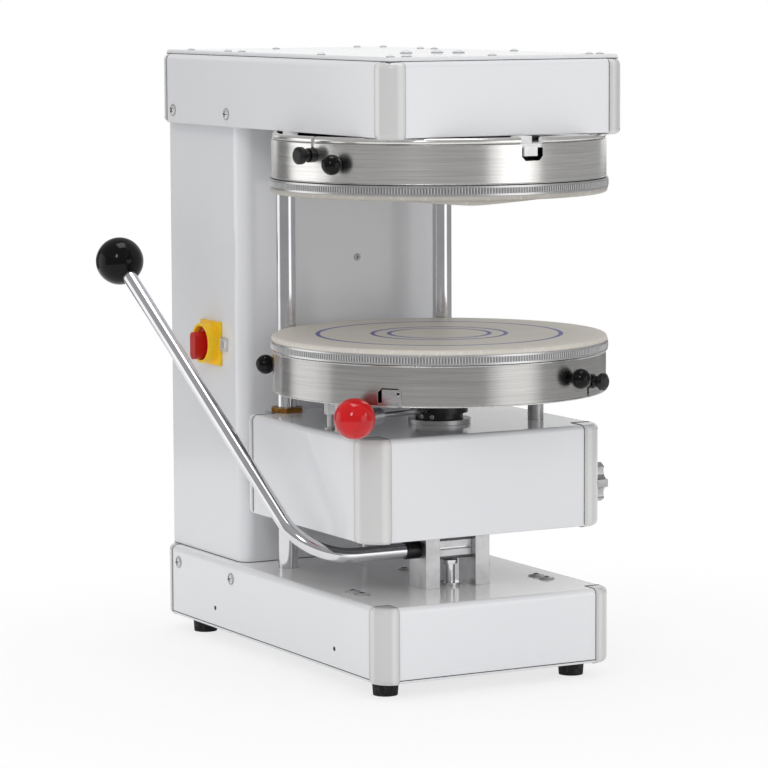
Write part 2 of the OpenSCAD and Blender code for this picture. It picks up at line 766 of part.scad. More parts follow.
// Disc under the head that the upper skirt hangs on, with window tabs, spacers and the plunger's lug
module upper_carrier() color(steel_color) placed() {
  lug_z = upper_skirt_z + upper_plunger_rise;
  difference() {
    union() {
      ring(carrier_r, upper_spindle_d, upper_carrier_z, upper_skirt_top);
      for (turn = upper_window_turns) facing(turn, upper_carrier_z) {
        translate([-tab_w * (0.5 + tab_side_share), -skirt_r, carrier_t - tab_h])
          cube([tab_w, lug_gap + skirt_t, tab_h - carrier_t / 2]);
        translate([-tab_w / 2, -carrier_r + 2 * lug_gap, carrier_t / 2])
          cube([tab_w * grip_share, tab_w, carrier_t / 2 + drum_gap]);
      }
      facing(upper_plunger_turn, 0) translate([-lug_w / 2, -lug_r, lug_z - plunger_pin_d * lug_over_shares[0]])
        cube([lug_w, lug_t, upper_skirt_top - carrier_t / 2 - lug_z + plunger_pin_d * lug_over_shares[0]]);
    }
    facing(upper_plunger_turn, lug_z)
      radial_bar(lug_r - 2 * lug_t, lug_r + lug_t, plunger_pin_d + 2 * run_fit);
  }
}

module upper_skirt() color(steel_color) placed() {
  pin_z = upper_skirt_z + upper_plunger_rise;
  difference() {
    ring(skirt_r, skirt_r - skirt_t, upper_skirt_z, upper_skirt_top);
    for (turn = upper_window_turns)
      mirror([0, 0, 1]) window_cut(turn, -upper_skirt_top - overrun, -upper_skirt_top + window_h);
    facing(upper_plunger_turn, pin_z) {
      radial_bar(skirt_r - 2 * skirt_t, skirt_r + skirt_t, plunger_pin_d + 4 * seat_gap);
      translate([-plunger_slot_w / 2, -skirt_r - skirt_t, 0])
        cube([plunger_slot_w, 4 * skirt_t, upper_skirt_top - pin_z + overrun]);
    }
  }
}

module upper_ball_knobs() color(dark_color) placed()
  ball_knobs(upper_knob_turns, upper_skirt_z + upper_knob_rise);

module upper_plunger_bush() color(dark_color) placed()
  facing(upper_plunger_turn, upper_skirt_z + upper_plunger_rise) plunger_bush();

module shaft_pillars() color(steel_color) placed() for (x = [-1, 1])
  translate([x * (pillar_gap + pillar_w) / 2, shaft_y, 0]) difference() {
    translate([0, 0, base_top]) rotate([90, 0, 90]) linear_extrude(pillar_w, center = true)
      crowned_outline(pillar_d, shaft_rise + pillar_over, pillar_r);
    translate([0, 0, shaft_z]) rotate([0, 90, 0])
      cylinder(d = rod_d + 2 * run_fit, h = 2 * pillar_w, center = true);
  }

module steady_post() color(steel_color) placed() translate([0, shaft_y, base_top]) {
  top = shaft_rise - cam_hub_d / 2 - seat_gap;
  cylinder(d = steady_foot_d, h = steady_foot_h);
  cylinder(d = steady_d, h = top - steady_cap_h / 2);
  translate([0, 0, top - steady_cap_h]) cylinder(d = steady_cap_d, h = steady_cap_h);
}

module switch_plate() color(yellow_color) placed()
  translate([-column_w / 2, switch_y, switch_z]) rotate([0, -90, 0]) difference() {
    union() {
      translate([-switch_w / 2, -switch_w / 2, 0]) cube([switch_w, switch_w, switch_t]);
      cylinder(d = switch_collar_d, h = switch_t + switch_collar_h);
    }
    translate([0, 0, -overrun])
      cylinder(d = switch_spindle_d + 4 * seat_gap, h = switch_t + switch_collar_h + 2 * overrun);
    translate([0, 0, switch_t + switch_collar_h - switch_recess])
      cylinder(d = switch_knob_d + 4 * seat_gap, h = switch_recess + overrun);
  }

module switch_body() color(dark_color) placed()
  translate([-column_w / 2 + sheet, switch_y, switch_z]) rotate([0, 90, 0]) difference() {
    translate([-switch_body_w / 2, -switch_body_w / 2, 0])
      cube([switch_body_w, switch_body_w, switch_body_d]);
    translate([0, 0, -overrun]) cylinder(d = switch_spindle_d + 2 * run_fit, h = switch_body_d / 2);
  }

module padlock_tab() color([0.85, 0.88, 0.9]) placed()
  translate([-column_w / 2 - switch_t / 2, switch_y - switch_w / 2 - lock_tab_w / 2, switch_z])
    rotate([0, 90, 0]) difference() {
      cube([lock_tab_w, lock_tab_w, switch_t], center = true);
      cylinder(d = lock_tab_w / 2, h = 2 * switch_t, center = true);
    }

module upper_spindle() color(steel_color) placed() {
  ring(disc_r, 0, upper_ring_top, upper_ring_top + disc_t);
  translate([0, 0, upper_ring_top]) cylinder(d = upper_spindle_d, h = pulley_z + pulley_h - upper_ring_top);
}

module spindle_pulley() color(steel_color) placed() translate([0, 0, pulley_z]) difference() {
  pulley_body();
  translate([0, 0, -overrun]) cylinder(d = upper_spindle_d + 2 * run_fit, h = pulley_h + 2 * overrun);
}

module upper_knurled_ring() color(steel_color) placed()
  ring(ring_r, ring_core_r + seat_gap, upper_ring_z, upper_ring_top);

// Press plate with a rounded edge, its working face at z = 0 and its back upwards
module plate_body() {
  edge = ring_r - rim_inset;
  rotate_extrude() {
    square([ring_core_r, rim_h + ring_h]);
    square([edge - rim_r, rim_h]);
    translate([0, rim_r]) square([edge, rim_h - rim_r]);
    intersection() {
      translate([edge - rim_r, rim_r]) circle(r = rim_r);
      square([edge + overrun, rim_h]);
    }
  }
}

// The rim's rounding leaves the ridge's roof shape to run out at the plate's edge
module ridge() {
  half = ridge_w / 2;
  intersection() {
    rotate([0, 0, ridge_turn]) rotate([90, 0, 0]) linear_extrude(2 * ring_r, center = true)
      polygon([[-half, 0], [-half, rim_h / 2], [half, rim_h / 2], [half, 0], [half / 8, -ridge_h * 0.94],
        [0, -ridge_h], [-half / 8, -ridge_h * 0.94]]);
    translate([0, 0, -2 * ridge_h]) cylinder(r = ring_r - rim_inset - rim_r, h = 4 * ridge_h);
  }
}

module upper_press_plate() color(cream_color) placed() translate([0, 0, upper_rim_z]) {
  plate_body();
  ridge();
}

module motor_pulley() color(steel_color) placed() translate([0, motor_y, 0]) {
  translate([0, 0, pulley_z]) pulley_body();
  translate([0, 0, head_z - motor_l / 4])
    cylinder(d = motor_shaft_d, h = pulley_z + pulley_h - head_z + motor_l / 4);
}

module carriage_shell() color(panel_color) placed() translate([0, carriage_mid, carriage_z]) difference() {
  crowned_box(carriage_w, carriage_d, carriage_h, edge_r);
  translate([0, 0, -overrun]) crowned_box(carriage_w - 2 * sheet, carriage_d - 2 * sheet,
    carriage_h - sheet + overrun, edge_r - sheet);
  corner_cuts(carriage_w, carriage_d, carriage_h, carriage_trim_r);
  translate([0, -carriage_mid, carriage_h / 2]) cylinder(d = sleeve_d + 4 * seat_gap, h = carriage_h);
  for (x = [-1, 1]) translate([x * guide_x, guide_y - carriage_mid, carriage_h / 2])
    cylinder(d = bush_d + 2 * run_fit, h = carriage_h);
  translate([carriage_w / 2, star_y - carriage_mid, star_rise]) rotate([0, 90, 0])
    cylinder(d = star_stud_d + 2 * seat_gap, h = 4 * sheet, center = true);
}

module carriage_corner_trims() color(trim_color) placed() translate([0, carriage_mid, carriage_z])
  corner_trims(carriage_w, carriage_d, carriage_h, carriage_trim_r, trim_drop);

// Plate under the carriage top with the clevis that carries the follower roller
module carriage_frame() color(steel_color) placed() {
  plate_y0 = -carriage_front + carriage_frame_inset;
  plate_y1 = carriage_y1 - sheet - panel_gap;
  inner = roller_w / 2 + 2 * seat_gap;
  difference() {
    union() {
      translate([-carriage_w / 2 + carriage_frame_inset, plate_y0, frame_z])
        cube([carriage_w - 2 * carriage_frame_inset, plate_y1 - plate_y0, carriage_frame_t]);
      for (x = [-1, 1]) translate([x * (inner + cheek_t / 2), shaft_y, 0]) {
        translate([-cheek_t / 2, -cheek_w / 2, roller_z])
          cube([cheek_t, cheek_w, frame_z - roller_z + overrun]);
        translate([0, 0, roller_z]) rotate([0, 90, 0]) cylinder(d = cheek_w, h = cheek_t, center = true);
      }
    }
    translate([0, 0, frame_z - overrun])
      cylinder(d = sleeve_d + 2 * run_fit, h = carriage_frame_t + 2 * overrun);
    for (x = [-1, 1]) translate([x * guide_x, guide_y, frame_z - overrun])
      cylinder(d = bush_d + 2 * run_fit, h = carriage_frame_t + 2 * overrun);
    translate([0, shaft_y, roller_z]) rotate([0, 90, 0])
      cylinder(d = roller_pin_d + 2 * run_fit, h = 4 * inner + 4 * cheek_t, center = true);
    translate([-stop_x, stop_y, frame_z - overrun])
      cylinder(d = stop_d + 2 * run_fit, h = carriage_frame_t - 2 * overrun);
    translate([-carriage_w / 2, carriage_y1 - sheet - edge_r, carriage_top - sheet - edge_r])
      cube([carriage_w, 2 * edge_r, 2 * edge_r]);
  }
}

module guide_bushes() color(bronze_color) placed() for (x = [-1, 1])
  translate([x * guide_x, guide_y, carriage_top]) difference() {
    union() {
      cylinder(d = bush_hex, h = bush_flange_t, $fn = 6);
      translate([0, 0, -bush_l]) cylinder(d = bush_d, h = bush_l + bush_flange_t / 2);
    }
    translate([0, 0, -bush_l - overrun])
      cylinder(d = guide_d + 2 * run_fit, h = bush_l + bush_flange_t + 2 * overrun);
  }

module follower_pin() color(steel_color) placed() translate([0, shaft_y, roller_z]) rotate([0, 90, 0])
  cylinder(d = roller_pin_d, h = roller_w + 4 * seat_gap + 2 * cheek_t, center = true);

module down_stop_screw() color(steel_color) placed() translate([-stop_x, stop_y, base_top + seat_gap])
  cylinder(d = stop_d, h = frame_z + carriage_frame_t - 4 * overrun - base_top - seat_gap);

module hub_ring() color(steel_color) placed()
  ring(hub_ring_d / 2, sleeve_d / 2 + seat_gap, carriage_top, carriage_top + hub_ring_h);

module carrier_posts() color(steel_color) placed() for (turn = post_turns)
  facing(turn, carriage_top) translate([0, -post_r, 0])
    cylinder(d = post_d, h = lower_carrier_z - carriage_top);

// Small block on a stem with a nut, beside the left post
module block_post() color(steel_color) placed() facing(block_turn, carriage_top) translate([0, -block_r, 0]) {
  cylinder(d = 2 * block_stem_d, h = block_stem_d / 2, $fn = 6);
  cylinder(d = block_stem_d, h = block_rise - block_h / 2);
  translate([-block_w / 2, -block_w / 2, block_rise - block_h]) cube([block_w, block_w, block_h]);
}

// Disc that carries the lower skirt, with window tabs and the plunger's lug
module lower_carrier() color(steel_color) placed() {
  lug_z = lower_skirt_z + lower_plunger_rise;
  difference() {
    union() {
      ring(carrier_r, bearing_d / 2 + 4 * seat_gap, lower_carrier_z, lower_carrier_z + carrier_t);
      for (turn = lower_window_turns) facing(turn, lower_carrier_z)
        translate([-lower_tab_w * (0.5 - tab_side_share / 2), -skirt_r + skirt_t + 3 * seat_gap, carrier_t / 2])
          cube([lower_tab_w, lug_gap, lower_tab_h - carrier_t / 2]);
      facing(lower_plunger_turn, 0) translate([-lug_w / 2, -lug_r, lower_carrier_z])
        cube([lug_w, lug_t, lug_z - lower_carrier_z + plunger_pin_d * lug_over_shares[1]]);
    }
    facing(lower_plunger_turn, lug_z)
      radial_bar(lug_r - 2 * lug_t, lug_r + lug_t, plunger_pin_d + 2 * run_fit);
  }
}

module lower_skirt() color(steel_color) placed() {
  pin_z = lower_skirt_z + lower_plunger_rise;
  difference() {
    ring(skirt_r, skirt_r - skirt_t, lower_skirt_z, lower_skirt_top);
    for (turn = lower_window_turns) {
      window_cut(turn, lower_skirt_z + window_strip, lower_skirt_z + window_strip + window_h);
      facing(turn, lower_skirt_z) translate([window_w / 2 - notch_w, -skirt_r - skirt_t, -overrun])
        cube([notch_w, 4 * skirt_t, 2 * window_strip]);
    }
    facing(lower_plunger_turn, pin_z) {
      radial_bar(skirt_r - 2 * skirt_t, skirt_r + skirt_t, plunger_pin_d + 4 * seat_gap);
      translate([-plunger_slot_w / 2, -skirt_r - skirt_t, -lower_plunger_rise - overrun])
        cube([plunger_slot_w, 4 * skirt_t, lower_plunger_rise + overrun]);
    }
  }
}

module lower_ball_knobs() color(dark_color) placed()
  ball_knobs(lower_knob_turns, lower_skirt_z + lower_knob_rise);

module lower_plunger_bush() color(dark_color) placed()
  facing(lower_plunger_turn, lower_skirt_z + lower_plunger_rise) plunger_bush();

// Bring a piece drawn in the lever's plane (x outward, y along the arm) to the lever at rest
module in_lever_plane() {
  translate([0, shaft_y, shaft_z]) rotate([180 + lever_rise, 0, 0]) rotate([0, 0, 180]) children();
}

module lever_rod() color(steel_color) placed() in_lever_plane() {
  shaft_l = bend_x + pillar_gap / 2 + pillar_w + 2 * seat_gap;
  arm_l = lever_l - bend_cut - lever_ball_d * ball_socket_share / 2;
  translate([bend_x + overrun, 0, 0]) rotate([0, -90, 0]) cylinder(d = rod_d, h = shaft_l + overrun);
  translate([bend_x, bend_r, 0]) {
    rotate([0, 0, -90]) rotate_extrude(angle = lever_turn) translate([bend_r, 0]) circle(d = rod_d + bend_over);
    translate([bend_r * sin(lever_turn), -bend_r * cos(lever_turn), 0]) rotate([0, 0, lever_turn])
      translate([-overrun, 0, 0]) rotate([0, 90, 0]) cylinder(d = rod_d, h = arm_l + overrun);
  }
}

// Sphere on the lever arm with a blind hole for the rod
module lever_ball() color(dark_color) placed() in_lever_plane()
  translate([lever_x, 0, 0]) rotate([0, 0, lever_turn]) rotate([0, 90, 0]) difference() {
    translate([0, 0, lever_l]) sphere(d = lever_ball_d);
    cylinder(d = rod_d + 2 * run_fit, h = lever_l - lever_ball_d * ball_socket_share / 2 + seat_gap);
  }

module lever_boss() color(dark_color) placed()
  translate([-pillar_gap / 2 - pillar_w - seat_gap, shaft_y, shaft_z]) rotate([0, -90, 0]) difference() {
    cylinder(d = boss_d, h = boss_l);
    translate([0, 0, -overrun]) cylinder(d = rod_d + 2 * run_fit, h = boss_l + 2 * overrun);
  }

// Point of the cam's edge for the lever angle a: the follower's path set in by the roller's radius.
// The path's radius grows evenly with a, so the carriage rises evenly with the lever.
function cam_point(a) = let (
    r = cam_r + lift * a / lever_sweep,
    n = sqrt(r * r + cam_k * cam_k),
    o = roller_d / 2 + seat_gap)
  [r * sin(a) - o * (r * sin(a) - cam_k * cos(a)) / n, r * cos(a) - o * (r * cos(a) + cam_k * sin(a)) / n];

function polar_point(r, a) = [r * sin(a), r * cos(a)];

module lift_cam() color(steel_color) placed() translate([0, shaft_y, shaft_z]) {
  steps = 48;
  end = cam_point(lever_sweep + cam_lag);
  end_a = atan2(end[0], end[1]);
  edge = [for (i = [0 : steps]) cam_point(-cam_lead + (lever_sweep + cam_lead + cam_lag) * i / steps)];
  tip = [polar_point(norm(end) - seat_gap, end_a + cam_tip), polar_point(cam_hub_d / 2, end_a + 60), [0, 0]];
  difference() {
    union() {
      rotate([90, 0, 90]) linear_extrude(cam_t, center = true) polygon(concat(edge, tip));
      rotate([0, 90, 0]) cylinder(d = cam_hub_d, h = pillar_gap - 2 * seat_gap, center = true);
    }
    rotate([0, 90, 0]) cylinder(d = rod_d + 2 * run_fit, h = 2 * pillar_gap, center = true);
    translate([0, -cam_hub_d / 2, 0]) cube([2 * pillar_gap, cam_hub_d, cam_split], center = true);
    translate([0, -cam_hub_d / 2, 0]) cube([2 * pillar_gap, 2 * cam_flat, cam_hub_d], center = true);
  }
}

module follower_roller() color(steel_color) placed() translate([0, shaft_y, roller_z]) rotate([0, 90, 0])
  difference() {
    cylinder(d = roller_d, h = roller_w, center = true);
    cylinder(d = roller_pin_d + 2 * run_fit, h = 2 * roller_w, center = true);
  }

// Bring a piece drawn along local -Y from the ball to the red-ball rod's slope and direction
module on_red_rod() {
  facing(red_turn, red_z) translate([0, -red_r, 0]) rotate([-red_slope, 0, 0]) children();
}

module hub_collar() color(dark_color) placed() difference() {
  union() {
    ring(collar_neck_d / 2, sleeve_d / 2 + seat_gap, collar_z, collar_z + collar_h / 2);
    ring(hub_d / 2, sleeve_d / 2 + seat_gap, collar_z + collar_neck_h, collar_z + collar_h);
  }
  on_red_rod() rotate([-90, 0, 0]) cylinder(d = red_rod_d + 2 * run_fit, h = red_r - sleeve_d / 2);
}

module red_ball_rod() color(steel_color) placed() on_red_rod() rotate([-90, 0, 0]) {
  cylinder(d = red_rod_d, h = red_r - hub_d / 2 + (hub_d - sleeve_d) / 4);
  translate([0, 0, red_ball_d / 2 - seat_gap]) cylinder(d = ferrule_d, h = ferrule_l - red_ball_d / 2);
}

module red_ball() color(red_color) placed() on_red_rod() difference() {
  sphere(d = red_ball_d);
  rotate([-90, 0, 0]) cylinder(d = red_rod_d + 2 * run_fit, h = red_ball_d);
  rotate([-90, 0, 0]) translate([0, 0, red_ball_d / 2 - 2 * seat_gap])
    cylinder(d = ferrule_d + 2 * run_fit, h = red_ball_d);
  sphere(d = red_rod_d + 4 * run_fit);
}

module lower_sleeve() color(steel_color) placed() difference() {
  union() {
    translate([0, 0, frame_z + seat_gap]) cylinder(d = sleeve_d, h = bearing_z - frame_z - seat_gap);
    translate([0, 0, sleeve_flange_z]) cylinder(d = bearing_d, h = sleeve_flange_t);
  }
  cylinder(d = spindle_d + 2 * run_fit, h = head_z);
}

module lower_bearing() color(steel_color) placed()
  ring(bearing_d / 2, spindle_d / 2 + seat_gap, bearing_z, bearing_z + bearing_h);

module lower_turntable() color(steel_color) placed() {
  translate([0, 0, frame_z + 2 * seat_gap]) cylinder(d = spindle_d, h = disc_z - frame_z);
  translate([0, 0, turntable_z]) cylinder(d = bearing_d, h = disc_z - turntable_z + overrun);
  ring(disc_r, 0, disc_z, lower_ring_z);
}

module lower_knurled_ring() color(steel_color) placed()
  ring(ring_r, ring_core_r + seat_gap, lower_ring_z, lower_ring_top);

module lower_press_plate() color(cream_color) placed() translate([0, 0, lower_plate_top]) mirror([0, 0, 1])
  plate_body();

module switch_knob() color(red_color) placed()
  translate([-column_w / 2, switch_y, switch_z]) rotate([0, -90, 0]) {
    floor_z = switch_t + switch_collar_h - switch_recess + seat_gap;
    inside = sheet + switch_body_d / 3;
    disc_h = switch_knob_h * knob_disc_share;
    ends = [-switch_knob_d * grip_end_shares[0], switch_knob_d * grip_end_shares[1]];
    translate([0, 0, floor_z]) cylinder(d = switch_knob_d, h = disc_h);
    translate([0, 0, floor_z + disc_h / 2]) linear_extrude(switch_knob_h - disc_h / 2) {
      translate([ends[0], -switch_grip_w / 2]) square([ends[1] - ends[0], switch_grip_w]);
      for (end = ends) translate([end, 0]) circle(d = switch_grip_w);
    }
    translate([0, 0, -inside]) cylinder(d = switch_spindle_d, h = inside + floor_z + disc_h / 2);
  }

module star_knob() color(steel_color) placed() translate([carriage_w / 2 + seat_gap, star_y, star_z])
  rotate([0, 90, 0]) {
    cylinder(d = star_d / 2, h = star_neck_l + seat_gap);
    translate([0, 0, -star_stud_l]) cylinder(d = star_stud_d, h = star_stud_l + seat_gap);
    translate([0, 0, star_neck_l]) difference() {
      cylinder(d = star_d, h = star_t);
      for (i = [1 : star_lobes]) rotate([0, 0, 360 * i / star_lobes])
        translate([star_d / 2 + star_hollow_d / 8, 0, -overrun]) cylinder(d = star_hollow_d, h = 2 * star_t);
    }
  }

module upper_plunger() color(dark_color) placed()
  facing(upper_plunger_turn, upper_skirt_z + upper_plunger_rise) plunger();

module lower_plunger() color(dark_color) placed()
  facing(lower_plunger_turn, lower_skirt_z + lower_plunger_rise) plunger();

base_shell();
base_chassis();
base_corner_trims();
rubber_feet();
column_cover();
column_back_panel();
cable_gland();
guide_columns();
head_shell();
head_lid();
head_corner_trims();
head_frame();
spindle_bearings();
gear_motor();
drive_belt();
upper_carrier();
upper_skirt();
upper_ball_knobs();
upper_plunger_bush();
shaft_pillars();
steady_post();
switch_plate();
switch_body();
padlock_tab();
upper_spindle();
spindle_pulley();
upper_knurled_ring();
upper_press_plate();
motor_pulley();
carriage_shell();
carriage_corner_trims();
carriage_frame();
guide_bushes();
follower_pin();
down_stop_screw();
hub_ring();
carrier_posts();
block_post();
lower_carrier();
lower_skirt();
lower_ball_knobs();
lower_plunger_bush();
lever_rod();
lever_ball();
lever_boss();
lift_cam();
follower_roller();
hub_collar();
red_ball_rod();
red_ball();
lower_sleeve();
lower_bearing();
lower_turntable();
lower_knurled_ring();
lower_press_plate();
switch_knob();
star_knob();
upper_plunger();
lower_plunger();
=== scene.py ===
"""Looks of the pizza dough press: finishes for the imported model, small fittings, studio and camera."""
import math
from collections import namedtuple

import bmesh
import bpy
from bpy.props import FloatProperty, FloatVectorProperty, IntProperty, PointerProperty
from mathutils import Matrix, Vector


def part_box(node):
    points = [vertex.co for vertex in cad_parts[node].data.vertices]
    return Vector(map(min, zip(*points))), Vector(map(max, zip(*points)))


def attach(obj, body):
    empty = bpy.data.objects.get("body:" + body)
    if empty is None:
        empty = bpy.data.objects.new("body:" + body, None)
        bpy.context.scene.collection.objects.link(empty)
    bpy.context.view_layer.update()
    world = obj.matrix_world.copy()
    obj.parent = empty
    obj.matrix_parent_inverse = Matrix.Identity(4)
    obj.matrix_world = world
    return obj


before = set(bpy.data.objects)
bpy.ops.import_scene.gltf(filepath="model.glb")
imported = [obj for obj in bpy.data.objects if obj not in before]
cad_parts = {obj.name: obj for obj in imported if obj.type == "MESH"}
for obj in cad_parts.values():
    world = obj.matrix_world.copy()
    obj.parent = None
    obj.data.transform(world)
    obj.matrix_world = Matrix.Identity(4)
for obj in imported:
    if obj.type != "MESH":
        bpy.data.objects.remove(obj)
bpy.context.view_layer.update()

bl_info = {
    "name": "Pizza dough press",
    "version": (1, 0, 0),
    "blender": (4, 5, 0),
    "location": "View3D > Sidebar > Dough press",
    "description": "Finishes, small fittings and studio for the packed pizza dough press",
    "category": "Object",
}

MM = 0.001
WHITE = (1, 1, 1, 1)
BLACK_OXIDE_AND_RECESS_SHADE = (0.05, 0.05, 0.052)
# Near white painted on the top of the base enamel as painted light
PAINTED_TOP_LIGHT = (0.95, 0.95, 0.95)
SHARP_ANGLE = math.radians(42)
WELD_DISTANCE = 1e-7
FLOOR_HALF = 14
SENSOR_WIDTH = 36
VIEW_LIMIT = 60
SPIN_SEED = 7
GUIDE_RING_SHARES = (0.725, 0.398, 0.30)
GUIDE_RING_HALF = 2.2 * MM
SEAM_RADIUS = 0.45 * MM
KNURL_SINK = 0.05 * MM
GLAND_RADIUS = 10 * MM
GLAND_NUT = 4.6 * MM
GLAND_SINK = 0.2 * MM
# Width, height and depth
GLAND_RIB = (1.5 * MM, 6.5 * MM, 0.7 * MM)

# Places and sizes in millimetres, from the plate axis and the floor; turns in degrees from the front to the right
HEAD_SCREWS = ((331, 559.5), (204, 559))
BASE_SCREWS = ((333.5, 75), (207, 75))
BACK_SCREWS = [(x, z) for x in (-109, 109) for z in (110, 246, 390, 528)]
COLUMN_SCREW = (15, 406)
DECK_SCREW = (4, 81)
DECK_BUTTONS = ((-106.8, -13), (-106.8, -33), (101.5, -20), (101.5, -40.5))
GRUB_SCREWS = ((245, 38.5), (-23, 38.5))
WINDOW_SCREW_TURN, WINDOW_SCREW_INSET, WINDOW_SCREW_HEIGHT = -43.3, 2.4, 300.6
COLLAR_SCREW_TURNS, COLLAR_SCREW_LIFT = (-76, -47, 104, 133), 2.8
SIDE_HEAD, PANEL_HEAD, COLUMN_HEAD, BUTTON_HEAD = 11, 8, 7, 14
GRUB_HEAD, WINDOW_HEAD, COLLAR_HEAD = 4.2, 5.6, 4
# X, Y and diameter
LID_CAPS = (
    (-119.5, 318, 7), (-120.5, 228, 7), (-120.5, 196, 7), (-25.7, 305, 7), (-120.5, 21, 7.5), (93, 344, 7),
    (115, 325, 7), (-120, -119, 7.5), (-104, -122, 9), (-27.4, 16.8, 11), (8.2, 17.2, 11), (24, 2, 11),
    (106, 226, 7), (104.4, 193.5, 7), (-9, -121, 8), (117, 50, 8), (102, -119, 7), (113, -121, 7))
# Direction of each gap in a skirt's rim, then where it starts and ends from there
UPPER_GAPS = ((3.1, -4.2, 4.2), (123.1, -4.2, 4.2), (243.1, -4.2, 4.2), (283.6, -0.75, 0.75))
LOWER_GAPS = ((-46.1, 2.75, 4.15), (73.9, 2.75, 4.15), (193.9, 2.75, 4.15), (31.4, -0.75, 0.75))
SHEET_BEND = 6
COLUMN_BEND = 14
HEM_INSET = 0.3
SHOULDER_SINK = 0.2
JOINT_FOOT = 2
SEAM_INSET = 0.2
SEAM_TRIM_GAP = 0.6
SEAM_FOOT = 2.6
# Foot, top and radius in metres, then name, start and end turn and grey, of the cards round the press
CARD_PLACE = (-0.2, 0.92, 1.75)
CARDS = (
    ("front_card", -106, 3, 0.36), ("right_card", 40, 112, 0.38), ("left_card", -170, -148, 0.2),
    ("right_softbox", 10, 34, 1.5), ("left_softbox", -142, -116, 1.3))


def middle(node):
    """Middle of a node's box at rest."""
    low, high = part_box(node)
    return (Vector(low) + Vector(high)) / 2


AXIS = middle("lower_press_plate")
Extents = namedtuple("Extents", "side front back foot top")


def spot(x, y, z):
    """Point of the part's frame for millimetres from the plate axis and the floor."""
    return Vector((AXIS.x + x * MM, AXIS.y + y * MM, z * MM))


def extents(node):
    """Half width, front, back, foot and top of a node in millimetres, from the plate axis and the floor."""
    low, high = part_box(node)
    return Extents(
        (high[0] - low[0]) / 2 / MM, (low[1] - AXIS.y) / MM, (high[1] - AXIS.y) / MM, low[2] / MM, high[2] / MM)


def tone(*levels):
    """Linear colour for screen values from 0 to 255."""
    shares = (level / 255 for level in levels)
    return tuple(share / 12.92 if share <= 0.04045 else ((share + 0.055) / 1.055) ** 2.4 for share in shares)


def colour_prop(name, description, *levels):
    return FloatVectorProperty(
        name=name, description=description, subtype="COLOR", size=3, min=0, max=1, default=tone(*levels))


def length_prop(name, description, millimetres):
    return FloatProperty(
        name=name, description=description, subtype="DISTANCE", unit="LENGTH", min=0, default=millimetres * MM)


def angle_prop(name, description, degrees):
    return FloatProperty(
        name=name, description=description, subtype="ANGLE", unit="ROTATION", default=math.radians(degrees))


def power_prop(name, description, default):
    return FloatProperty(
        name=name, description=description, subtype="POWER", unit="POWER", min=0, default=default)


class PressColours(bpy.types.PropertyGroup):
    """Colours of the finishes."""
    enamel: colour_prop("Enamel", "Gloss enamel of the sheet housings", 226, 227, 230)
    trim: colour_prop("Corner trim", "Moulded corner trims", 207, 207, 207)
    steel: colour_prop("Brushed steel", "Brushed skirts of the two drums", 202, 201, 199)
    chrome: colour_prop("Chrome", "Guide columns, lever and rods", 222, 222, 225)
    machined: colour_prop("Machined metal", "Turned and milled pieces", 196, 196, 197)
    cream: colour_prop("Press plate", "Polymer of the two press plates", 211, 206, 197)
    guide_blue: colour_prop("Guide rings", "Rings printed on the lower plate", 38, 48, 152)
    bronze: colour_prop("Bronze", "Guide bushes", 168, 120, 58)
    ball_red: colour_prop("Red ball", "Ball of the thickness lever", 202, 12, 18)
    knob_red: colour_prop("Switch knob", "Rotary knob of the main switch", 190, 20, 14)
    switch_yellow: colour_prop("Switch plate", "Plate and collar of the main switch", 255, 206, 18)
    black: colour_prop("Black", "Balls, knobs, boss and hub collar", 9, 9, 10)
    rubber: colour_prop("Rubber", "Feet and drive belt", 30, 30, 31)
    joint: colour_prop("Joint lines", "Sealing lines beside the corner trims", 112, 112, 113)


class PressSizes(bpy.types.PropertyGroup):
    """Sizes of the small fittings."""
    rib_count: IntProperty(
        name="Ribs", description="Ribs round each knurled ring", min=60, max=720, default=360)
    rib_width: length_prop("Rib width", "Width of a rib on the knurled rings", 1.5)
    rib_height: length_prop("Rib height", "Upright length of a rib", 5.4)
    rib_proud: length_prop("Rib depth", "How far a rib stands out of its ring", 0.45)
    hem_radius: length_prop("Hem", "Radius of the rolled edge of the skirts", 0.75)
    shoulder_radius: length_prop("Shoulder", "Radius of the rounded shoulder on the upper skirt", 3.45)
    joint_radius: length_prop("Joint line", "Radius of the sealing line beside a trim", 0.5)
    trim_radius: length_prop("Trim radius", "Radius of the corner trims on the base and the head", 21)
    carriage_trim_radius: length_prop("Carriage trim radius", "Radius of the carriage's corner trims", 26)
    collar_neck: length_prop("Collar neck", "Radius of the hub collar's neck", 24)
    screw_height: FloatProperty(
        name="Screw height", description="Height of a screw head as a share of its diameter",
        subtype="FACTOR", min=0.1, max=0.6, default=0.24)
    gland_ribs: IntProperty(
        name="Gland ribs", description="Ribs round the cable gland's nut", min=8, max=48, default=22)


class PressStudio(bpy.types.PropertyGroup):
    """Camera and light."""
    lens: FloatProperty(
        name="Lens", description="Focal length on a 36 mm sensor, in millimetres",
        min=20, max=400, default=168.53)
    yaw: angle_prop("Yaw", "Direction of view from the front towards the right", 28.65)
    pitch: angle_prop("Pitch", "Downward tilt of the camera", 6.46)
    roll: angle_prop("Roll", "Turn of the camera about its view", -0.24)
    camera: FloatVectorProperty(
        name="Camera", description="Camera place in the part's frame",
        subtype="TRANSLATION", unit="LENGTH", size=3,
        default=(AXIS.x - 1.7684, AXIS.y - 3.1210, 0.6984))
    sky: FloatProperty(
        name="Sky", description="Strength of the even light from all round", min=0, max=3, default=0.77)
    key: power_prop("Key light", "Power of the large light at the front left", 15)
    fill: power_prop("Fill light", "Power of the light at the front right", 4)
    top: power_prop("Top light", "Power of the light overhead", 13)
    low: power_prop("Low light", "Power of the light that reaches under the carriage", 0.7)


